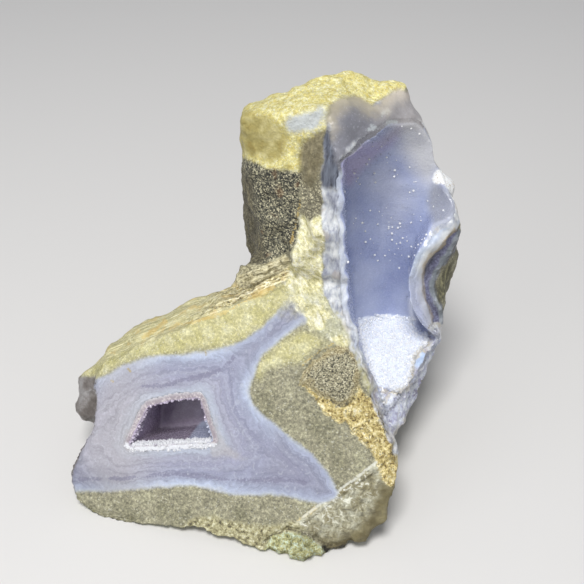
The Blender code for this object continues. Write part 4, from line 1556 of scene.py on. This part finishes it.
# The vein

def vein_bands(s):
    """The bands round the pocket and, further off, the bands along the vein's edge, with fine rings."""
    away = s.attribute("from_pocket")
    inside_vein = s.attribute("vein")
    scallop = s.math("SUBTRACT", s.cells(1.15, "Distance"), 0.45)
    whole = s.math("ADD", away, s.math("MAXIMUM", inside_vein, 0.0))
    share = s.math("DIVIDE", away, s.math("MAXIMUM", whole, 0.2))
    share = s.madd(s.wide, 0.22, share)
    share = s.madd(s.middle, 0.12, s.madd(s.fine, 0.06, share))
    share = s.madd(scallop, 0.07, share)
    near_pocket = s.ramp(share, VEIN_BANDS)
    greyed = s.mix(0.6, near_pocket, LEFT_GREY)
    near_pocket = s.mix(s.step(s.axis(0), -15.0, -24.0), near_pocket, greyed)
    inward = s.madd(s.wide, 1.2, s.madd(s.middle, 0.7, inside_vein))
    inward = s.madd(scallop, 0.5, inward)
    far_off = s.ramp(s.math("DIVIDE", inward, 3.5), FAR_BANDS)
    far = s.step(away, FAR_BANDS_START, FAR_BANDS_END)
    colour = s.mix(far, near_pocket, far_off)
    depth = s.blend(far, s.times(share, 17.0), s.times(inward, 3.2))
    along = s.madd(s.axis(2), 0.1, s.times(s.axis(0), 0.1))
    rings = s.noise(1.0, 3.0, 0.7, at=s.joined(depth, along))
    rings = s.ramp_value(rings, ((0.34, 0.84), (0.46, 0.97), (0.56, 1.04), (0.68, 1.15)))
    shown = s.step(s.math("MINIMUM", away, inside_vein), 0.1, 0.8)
    return s.shaded(colour, s.blend(shown, 1.0, rings))


def vein_colour(s):
    """The banded chalcedony: its sawn face with seams, orbs and frost, and its duller broken sides."""
    colour = vein_bands(s)
    colour = s.mix(s.times(s.near("dark_seam", 0.3, 0.5, 0.5), 0.6), colour, (120, 118, 140))
    colour = s.mix(s.times(s.near("dot", 0.22, 0.2), 0.7), colour, (172, 152, 92))
    orb = s.cells(0.5, "Distance", at=s.moved((8.0, 2.0, 6.0)))
    orb = s.rest(s.step(s.math("ABSOLUTE", s.math("SUBTRACT", orb, 0.3)), 0.02, 0.06))
    orb = s.times(orb, s.times(s.step(s.middle, 0.04, 0.1), 0.25))
    colour = s.mix(orb, colour, (204, 208, 217))
    frost = s.noise(2.6, 4.0, 0.75, at=s.moved((6.0, 6.0, 0.0)), distortion=0.8)
    colour = s.mix(s.times(s.step(frost, 0.58, 0.68), 0.4), colour, (206, 209, 218))
    colour = s.mix(s.times(s.step(frost, 0.42, 0.32), 0.3), colour, (134, 135, 158))
    wedge = s.grained(s.mix(s.fine, (176, 173, 174), (194, 190, 186)), 0.94, 1.08)
    colour = s.mix(s.times(s.mask("wedge", 0.4, 0.8, 0.6), 0.6), colour, wedge)
    colour = s.crumbly(s.grained(colour, 0.965, 1.03), 0.12, 0.89)
    lower_left = s.times(s.step(s.axis(0), -17.0, -25.0), s.step(s.axis(2), 7.5, 4.5))
    colour = s.shaded(colour, s.blend(lower_left, 0.98, 0.82))
    side = s.ramp(s.noise(0.5, 3.0, 0.6), (
        (0.36, (104, 97, 92)), (0.5, (124, 118, 114)), (0.64, (154, 151, 150)),
    ))
    return s.mix(s.attribute("sawn"), side, colour)


def share_of_vein(s):
    """The vein's own mask, which fades into the crust at the tip of its upper arm."""
    below_tip = s.step(s.madd(s.middle, 4.0, s.axis(2)), 29.2, 26.2)
    return s.times(s.mask("vein", 0.3, 0.4, 0.25), s.blend(below_tip, 0.25, 1.0))


# What lies over what

def laid(s, colour, layers):
    """A colour under layers: each an attribute, the colour inside it, its strength, its mask's edge."""
    for name, over, strength, *settings in layers:
        share = s.mask(name, *settings)
        if strength < 1.0:
            share = s.times(share, strength)
        colour = s.mix(share, colour, over)
    return colour


def with_seams(s, colour):
    """The ochre seams between the rocks and the white line above the glassy quartz, partly white crystals and
    partly a painted highlight on the ridge.
    """
    seam = s.mix(s.step(s.middle, -0.15, 0.15), (206, 172, 88), (222, 200, 128))
    colour = s.mix(s.times(s.near("ochre_seam", 0.24, 0.4, 0.45), 0.55), colour, seam)
    # The white line: partly white crystals, partly a painted highlight along the ridge's edge.
    return s.mix(s.times(s.near("ridge_line_and_highlight", 0.24, 0.15), 0.7), colour, (222, 222, 210))


def rock_colours(s):
    colour = laid(s, chert_colour(s), (
        ("top_chert", top_chert_colour(s), 0.85, 0.8),
        ("strip", strip_colour(s), 1.0, 0.25),
        ("matrix", leg_colour(s), 1.0),
        ("pale_matrix", pale_leg_colour(s), 1.0, 0.4),
        ("cap", cap_colour(s), 1.0, 0.35),
        ("honey", honey_colour(s), 1.0, 0.9, 0.3),
        ("brown", brown_colour(s), 1.0, 0.7, 0.8),
        ("white_patch", white_colour(s), 0.9, 0.6, 0.9),
        ("crust", crust_colour(s), 1.0, 0.3),
        ("patch", patch_colour(s), 1.0, 0.15, 0.8, 0.6),
        ("glassy", glassy_colour(s), 1.0, 0.15, 0.2, 0.1),
        ("honey_and_shade", honey_and_shade_colour(s), 0.9, 1.0),
        ("ochre", ochre_colour(s), 1.0, 0.2, 0.8, 0.6),
    ))
    colour = laid(s, with_seams(s, colour), (
        ("bottom", bottom_colour(s), 0.9, 0.4, 0.8, 0.8),
        ("rock", dark_rock_colour(s), 1.0, 0.2),
        ("crumble", crumble_colour(s), 1.0, 0.2),
    ))
    # Painted shade, partly a real dark crevice, along the arc lines.
    return s.mix(s.times(s.near("arc", 0.22, 0.4), 0.6), colour, (64, 56, 38))


def fine_relief(s, vein_share, curtain_share, lip_share):
    """The fine unevenness that is too small for the mesh."""
    rough = s.madd(s.grain, 0.3, s.madd(s.sugar, 0.5, s.noise(1.8, 5.0, 0.7)))
    draped = s.madd(s.sugar, 0.12, s.folds)
    saw_marks = s.noise(1.0, 1.0, at=s.stretched(SAW_STROKES, 0.06, 5.0))
    coarse = s.times(s.sugar, s.blend(vein_share, 0.4, 0.10))
    flat = s.madd(s.grain, 0.05, s.madd(saw_marks, 0.05, coarse))
    flat = s.madd(s.rest(vein_share), s.times(s.strokes, 0.12), flat)
    draping = s.times(curtain_share, s.step(s.axis(0), 12.0, 10.0))
    smooth_part = s.times(curtain_share, s.step(s.axis(0), 10.0, 12.0))
    smooth_part = s.math("MAXIMUM", lip_share, smooth_part)
    height = s.blend(draping, rough, draped)
    height = s.blend(smooth_part, height, s.times(s.sugar, 0.15))
    return s.blend(s.attribute("sawn"), height, flat)


def stone_material():
    s = StoneShader()
    curtain_share = s.mask("curtain", 0.2, 0.4, 0.5)
    lip_share = s.mask("lip", 0.5, 0.4, 0.8)
    vein_share = share_of_vein(s)
    colour = s.mix(curtain_share, rock_colours(s), curtain_colour(s, s.folds))
    colour = s.mix(lip_share, colour, capped_lip_colour(s))
    colour = laid(s, with_lobe(s, colour, s.grain), (("skin", skin_colour(s), 1.0, 0.3, 0.4, 0.4),))
    colour = s.mix(vein_share, colour, vein_colour(s))
    colour = laid(s, colour, (("ledge", ledge_colour(s), 0.8, 0.4),))
    s.put(s.surface.inputs["Base Color"], colour)

    clear = s.math("MAXIMUM", vein_share, curtain_share)
    stony = s.blend(s.noise(2.5, 3.0), 0.45, 0.75)
    s.put(s.surface.inputs["Roughness"], s.blend(clear, stony, 0.36))
    s.put(s.surface.inputs["Subsurface Weight"], s.times(clear, 0.35))
    s.scatter((1.0, 0.9, 0.9), 0.7)
    s.put(s.surface.inputs["Normal"], s.bump(fine_relief(s, vein_share, curtain_share, lip_share), 0.32, 0.9))
    return s.material


class DruseShader(Margin):
    """What the two crusts share."""

    def __init__(self, name):
        super().__init__(name, 3.2, 0.8)
        self.broad = self.noise(0.2, 3.0)
        self.tint = self.attribute("tint")
        self.depth = self.madd(self.fine, 0.3, self.attribute("depth"))

    def finished(self, colour):
        """The material with this colour and with the gloss and unevenness of small crystals."""
        self.put(self.surface.inputs["Base Color"], colour)
        self.put(self.surface.inputs["Roughness"], self.blend(self.noise(4.0, 2.0), 0.12, 0.4))
        self.surface.inputs["Subsurface Weight"].default_value = 0.3
        self.scatter((0.9, 0.9, 1.0), 0.8)
        self.surface.inputs["Coat Weight"].default_value = 0.3
        self.surface.inputs["Coat Roughness"].default_value = 0.1
        height = self.madd(self.cells(4.5, "Distance"), -0.5, self.noise(2.0, 4.0, 0.6))
        self.put(self.surface.inputs["Normal"], self.bump(height, 0.12, 0.6))
        return self.material


def pocket_material():
    s = DruseShader("pocket_druse")
    base = s.ramp(s.broad, ((0.35, (172, 158, 178)), (0.6, (186, 174, 196))))
    # Painted shade: the colour is darker on faces that turn up and deeper in the pocket, where light comes in
    # through the mouth.
    base = s.shaded(base, s.blend(s.attribute("upturned_shade"), 1.0, 0.60))
    base = s.shaded(base, s.blend(s.attribute("back"), 1.0, 0.80))
    base = s.shaded(base, s.madd(s.middle, 0.5, 1.0))
    colour = s.mix(s.times(s.attribute("corner"), 0.9), base, (170, 178, 200))
    rim = s.ramp(s.madd(s.middle, 1.0, s.fine), (
        (0.0, (156, 146, 152)), (0.16, (184, 174, 178)), (0.34, (212, 206, 202)),
    ))
    rim = s.mix(s.times(s.step(s.depth, 0.45, 0.9), 0.8), rim, (186, 182, 186))
    colour = s.mix(s.step(s.depth, 0.05, 0.25), colour, rim)
    colour = s.mix(s.attribute("floor"), colour, (222, 223, 228))
    return s.finished(s.mix(s.times(s.tint, 0.4), colour, (250, 250, 253)))


def niche_wall(s):
    """The wall's lilac blue, its paler and greyer parts, the lip's painted shadow, the painted light under
    the lobe and the white floor of crystals.
    """
    colour = s.ramp(s.broad, ((0.3, (146, 156, 193)), (0.5, (162, 171, 203)), (0.7, (177, 185, 211))))
    # pale and beige are tones of the wall; the last one is the lip's painted shadow on it.
    for name, strength, over in (
        ("pale", 0.75, (220, 219, 217)), ("beige", 0.85, (156, 158, 167)), ("shade", 0.7, (172, 160, 190)),
    ):
        colour = s.mix(s.times(s.attribute(name), strength), colour, over)
    # Painted light: the shaded recess under the lobe is made lighter.
    colour = s.mix(s.attribute("foot"), colour, (226, 229, 240))
    return s.mix(s.attribute("floor"), colour, s.mix(s.tint, (236, 241, 252), (255, 255, 255)))


def niche_material():
    s = DruseShader("niche_druse")
    folds = s.noise(1.0, 4.0, 0.6, at=s.stretched(DRAPED, 0.22, 2.6))
    rim = s.ramp(s.middle, ((0.0, (186, 190, 204)), (0.5, (206, 209, 218))))
    rim = s.mix(s.attribute("curtain"), rim, s.mix(0.45, curtain_colour(s, folds), (204, 212, 228)))
    lip_share = s.step(s.madd(s.middle, 1.0, s.attribute("lip")), -1.4, -0.4)
    # Painted shade: the lip's colour is darkened on the crust's rim, whose upturned edge catches more light.
    rim = s.mix(lip_share, rim, s.shaded(lip_colour(s), 0.74))
    outside = s.step(s.depth, 0.1, 0.4)
    colour = s.mix(outside, niche_wall(s), rim)
    lip_right = s.times(lip_share, s.step(s.axis(0), 9.0, 13.0))
    colour = s.mix(lip_right, colour, s.mix(0.5, colour, lip_colour(s)))
    lobe = with_lobe(s, colour, s.random_cells(4.6)[0])
    colour = s.mix(s.math("MAXIMUM", outside, s.attribute("right")), colour, lobe)
    toothed = s.madd(s.fine, 0.6, s.attribute("shelf"))
    brink = s.rest(s.step(s.math("ABSOLUTE", toothed), 0.06, 0.24))
    colour = s.mix(s.times(brink, s.times(s.attribute("front"), 0.5)), colour, (214, 202, 168))
    lighter = s.mix(s.times(s.math("MINIMUM", s.tint, 1.0), 0.2), colour, (248, 248, 253))
    # Painted glints: crystals whose tint is above 1.5 turn pure white.
    return s.finished(s.mix(s.step(s.tint, 1.4, 1.6), lighter, (255, 255, 255)))


def dress(piece, material):
    piece.data.materials.clear()
    piece.data.materials.append(material)
    piece.data.shade_smooth()


# Crystals

CRYSTAL_SIDES = 6
LEAST_WEIGHT = 1e-9
SEED = 7


def crystal_field(roots, directions, widths, lengths, rng):
    """Vertices and faces of six-sided points that stand on a surface."""
    corners = []
    faces = []
    for root, direction, width, length in zip(roots, directions, widths, lengths):
        first = len(corners)
        turn = Vector((0, 0, 1)).rotation_difference(Vector(direction)).to_matrix()
        spin = rng.random() * math.tau
        for height, scale in ((-0.35 * length, 1.0), (0.45 * length, 0.95)):
            for i in range(CRYSTAL_SIDES):
                angle = spin + math.tau * i / CRYSTAL_SIDES
                ring = Vector((math.cos(angle), math.sin(angle), 0.0)) * width * scale
                ring.z = height
                corners.append(Vector(root) + turn @ ring)
        corners.append(Vector(root) + turn @ Vector((0.0, 0.0, length)))
        tip = first + 2 * CRYSTAL_SIDES
        faces.append(tuple(range(first + CRYSTAL_SIDES - 1, first - 1, -1)))
        for i in range(CRYSTAL_SIDES):
            j = (i + 1) % CRYSTAL_SIDES
            low, high = first, first + CRYSTAL_SIDES
            faces.append((low + i, low + j, high + j, high + i))
            faces.append((high + i, high + j, tip))
    return corners, faces


def grow(crust_piece, rng, weights, count, size, length, lean, tints=(0.0, 1.0)):
    """Crystals on the vertices that weights favours: places, faces, the vertex under each, range of tint."""
    chosen = weights + LEAST_WEIGHT
    points = places(crust_piece)
    directions = normals(crust_piece)
    numbers = np.random.default_rng(SEED + count)
    picked = numbers.choice(len(points), size=count, replace=False, p=chosen / chosen.sum())
    tilt = numbers.normal(0.0, lean, (count, 3))
    stand = directions[picked] + tilt
    stand = stand / np.linalg.norm(stand, axis=1)[:, None]
    widths = numbers.uniform(size[0], size[1], count)
    lengths = widths * numbers.uniform(length[0], length[1], count)
    corners, faces = crystal_field(points[picked], stand, widths, lengths, rng)
    return np.array(corners), faces, picked, tints


def encrust(piece, name, fields, attributes):
    """The crust and its crystals as one mesh with the crust's attributes."""
    points = places(piece)
    faces = [tuple(polygon.vertices) for polygon in piece.data.polygons]
    tint = [np.zeros(len(points))]
    values = {key: [value] for key, value in attributes.items()}
    all_points = [points]
    start = len(points)
    numbers = np.random.default_rng(SEED)
    for corners, field_faces, picked, (dull, bright) in fields:
        faces += [tuple(i + start for i in face) for face in field_faces]
        all_points.append(corners)
        start += len(corners)
        each = len(corners) // len(picked)
        tint.append(np.repeat(numbers.uniform(dull, bright, len(picked)), each))
        for key, value in attributes.items():
            values[key].append(np.repeat(value[picked], each))
    mesh = bpy.data.meshes.new(name)
    gathered = (np.concatenate(all_points) - np.array(ORIGIN)) * MM
    mesh.from_pydata(gathered.tolist(), [], faces)
    made = placed(name, mesh)
    set_attribute(made, "tint", np.concatenate(tint))
    for key, value in values.items():
        set_attribute(made, key, np.concatenate(value))
    smooth_faces = np.zeros(len(faces), bool)
    smooth_faces[:len(piece.data.polygons)] = True
    remove(piece)
    return made, smooth_faces


def distance_to(points, skin):
    tree = BVHTree.FromPolygons(
        [tuple(row) for row in places(skin)],
        [tuple(polygon.vertices) for polygon in skin.data.polygons],
    )
    return np.array([tree.find_nearest(Vector(row))[3] for row in points])


def finish_niche(piece, skin):
    points = places(piece)
    directions = normals(piece)
    pixels = seen_at(points)
    seen = facing(directions)
    depth = distance_to(points, skin)
    shelf = region(pixels + 2.0 * noise_at(points, 0.7, 3.0)[:, None], SHELF)
    outer = ease(depth, 0.3, 0.7)
    on_lobe = [inside(pixels, outline, -0.1, 0.1) for outline in (RIM_INNER + LOBE_SIDE, BEADS, NOTCH)]
    on_lobe = np.max(on_lobe, axis=0) * seen
    relief = margin_relief(points, pixels, seen, np.zeros(len(points))) * np.maximum(outer, on_lobe)
    points = points + directions * relief[:, None] + scalloped(points, pixels)
    set_places(piece, points)

    inner = ease(-depth, -0.12, -0.04)
    upward = ease(directions[:, 2], -0.1, 0.35) * ease(-points[:, 2], -22.0, -19.0)
    upward = upward * ease(shelf, -0.15, 0.1) * (1.0 - on_lobe)
    wall = inner * (1.0 - upward) * (1.0 - on_lobe)
    glint_area = inside(pixels, WALL_GLINTS, -4.0, 1.5) + 0.08
    front = ease(pixels[:, 1], *SHELF_FRONT)
    brim = upward * ease(-np.abs(shelf), -0.7, -0.3) * front
    cloud = inside(pixels, WALL_CLOUD, -1.5, 1.5)
    rng = random.Random(SEED)
    fields = [
        grow(piece, rng, inner * upward, 1500, (0.10, 0.22), (1.2, 2.2), 0.35),
        grow(piece, rng, brim, 170, (0.18, 0.34), (1.0, 1.8), 0.6),
        grow(piece, rng, wall, 700, (0.05, 0.09), (0.8, 1.4), 0.2, (0.2, 0.7)),
        # Painted glints: small crystals of tint 2, which the niche material paints pure white.
        grow(piece, rng, wall * glint_area, 100, (0.05, 0.19), (0.7, 1.2), 0.6, (2.0, 2.0)),
    ]
    attributes = {
        "depth": depth,
        "floor": upward,
        "shelf": shelf,
        "right": on_lobe,
        "shade": inside(pixels, WALL_LIP_SHADOW, -0.8, 0.6),
        "pale": np.maximum(inside(pixels, WALL_PALE, -1.5, 2.0), 0.3 * cloud),
        "curtain": ease(-pixels[:, 0], -CURTAIN_TO, -CURTAIN_FROM) * ease(pixels[:, 1], *CURTAIN_BELOW),
        "front": front,
        "beige": inside(pixels, WALL_BEIGE, -0.8, 0.6),
        "foot": inside(pixels, LOBE_FOOT_PAINTED_LIGHT, -0.3, 0.3),
    }
    attributes.update(map_margin(points, pixels, seen))
    return encrust(piece, "niche_crystals", fields, attributes)


def finish_pocket(piece, skin):
    points = places(piece)
    directions = normals(piece)
    local = on_face_at(points)
    depth = distance_to(points, skin)
    pixels = seen_at(points)
    upwards = directions @ np.array(UP)
    near_mouth = ease(local[:, 2], -1.9, -1.0)
    inner = ease(-depth, -0.10, -0.03)
    mouth = inner * ease(local[:, 2], -1.8, -0.4)
    bottom = ease(pixels[:, 1] + 1.5 * noise_at(points, 0.5), *POCKET_BOTTOM) * ease(depth, 0.05, 0.3)
    on_floor = ease(upwards, 0.4, 0.8) * inner * near_mouth
    rng = random.Random(SEED + 1)
    fields = [
        grow(piece, rng, mouth, 240, (0.09, 0.22), (1.2, 2.2), 0.4, (0.0, 0.4)),
        grow(piece, rng, on_floor, 260, (0.13, 0.25), (1.1, 1.9), 0.4, (0.3, 1.0)),
        grow(piece, rng, bottom, 220, (0.10, 0.22), (0.8, 1.6), 0.5, (0.3, 1.0)),
        grow(piece, rng, inner, 200, (0.05, 0.09), (1.0, 1.5), 0.2, (0.0, 0.3)),
    ]
    attributes = {
        "depth": depth,
        "floor": np.maximum(ease(upwards, 0.2, 0.7) * near_mouth, bottom),
        "corner": inside(pixels, POCKET_CORNER, -0.3, 0.1),
        # Painted shade: these two darken the pocket where light falls in through its mouth.
        "upturned_shade": ease(upwards, 0.0, 0.5),
        "back": ease(-local[:, 2], 3.0, 6.0),
    }
    return encrust(piece, "pocket_crystals", fields, attributes)


# The piece put together

block = rough_block()
saw = saw_block()
ground = ground_block()
chip = lower_break()
boolean(block, saw, "DIFFERENCE")
boolean(block, chip, "DIFFERENCE")
crumbs = [ball("crumb", centre, radius) for centre, radius in CRUMBLE_LUMPS]
for crumb in crumbs:
    boolean(block, crumb, "UNION")
boolean(block, ground, "DIFFERENCE")
block = as_mesh(block, "block")
niche = niche_skin()
pocket = pocket_skin()
niche_druse = crust("niche_base", niche, block, CRUST_VOXEL)
pocket_druse = crust("pocket_base", pocket, block, POCKET_VOXEL)
niche_cut = grown(niche, CRUST_THICKNESS - CRUST_SUNK)
pocket_cut = grown(pocket, CRUST_THICKNESS - CRUST_SUNK)
stone = copy_of(block, "stone")
boolean(stone, niche_cut, "DIFFERENCE")
boolean(stone, pocket_cut, "DIFFERENCE")
remesh(stone, STONE_VOXEL)
stone = as_mesh(stone, "stone")
largest_body(stone)
shape_stone(stone, niche)
stone = thin_out(stone, STONE_TRIANGLES, LEAST_KEPT + (1.0 - LEAST_KEPT) * facing(normals(stone)))
map_stone(stone, niche)
dress(stone, stone_material())
niche_druse, niche_smooth = finish_niche(niche_druse, niche)
pocket_druse, pocket_smooth = finish_pocket(pocket_druse, pocket)
for piece, smooth_faces, material in (
    (niche_druse, niche_smooth, niche_material()),
    (pocket_druse, pocket_smooth, pocket_material()),
):
    piece.data.materials.append(material)
    piece.data.polygons.foreach_set("use_smooth", smooth_faces)
remove(block, saw, chip, ground, niche, pocket, niche_cut, pocket_cut, *crumbs)

for piece, node, slot in (
    (stone, "chalcedony_stone", "chalcedony"),
    (niche_druse, "niche_druse", "niche_crystals"),
    (pocket_druse, "pocket_druse", "pocket_crystals"),
):
    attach(piece, BODY)
    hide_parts(node)


# Floor and lights

FLOOR_REACH = 1.5
FLOOR_GREY = (215, 213, 210)
LIGHTS_AIM = Vector((0.0, 0.0, 0.025))
SURROUND_COLOUR = (0.9, 0.93, 1.0, 1.0)
SURROUND_STRENGTH = 0.35


def make_floor():
    bm = bmesh.new()
    bmesh.ops.create_grid(bm, x_segments=1, y_segments=1, size=FLOOR_REACH)
    floor = mesh_object("floor", bm)
    shader = Shader("floor_pale")
    shader.surface.inputs["Base Color"].default_value = (*linear(FLOOR_GREY), 1.0)
    shader.surface.inputs["Roughness"].default_value = 0.7
    floor.data.materials.append(shader.material)


def area_light(name, place, size, watts):
    data = bpy.data.lights.new(name, "AREA")
    data.energy = watts
    data.size = size
    lamp = placed(name, data)
    lamp.location = place
    lamp.rotation_euler = (LIGHTS_AIM - Vector(place)).to_track_quat("-Z", "Y").to_euler()


def surround():
    """A weak pale light from all round."""
    studio = bpy.data.worlds.new("studio")
    bpy.context.scene.world = studio
    studio.use_nodes = True
    background = studio.node_tree.nodes["Background"]
    background.inputs[0].default_value = SURROUND_COLOUR
    background.inputs[1].default_value = SURROUND_STRENGTH


make_floor()
area_light("key", (-0.03, -0.15, 0.38), 0.12, 1.5)
area_light("fill", (-0.30, -0.25, 0.16), 0.25, 0.25)
surround()
bpy.context.scene.view_settings.view_transform = "Standard"
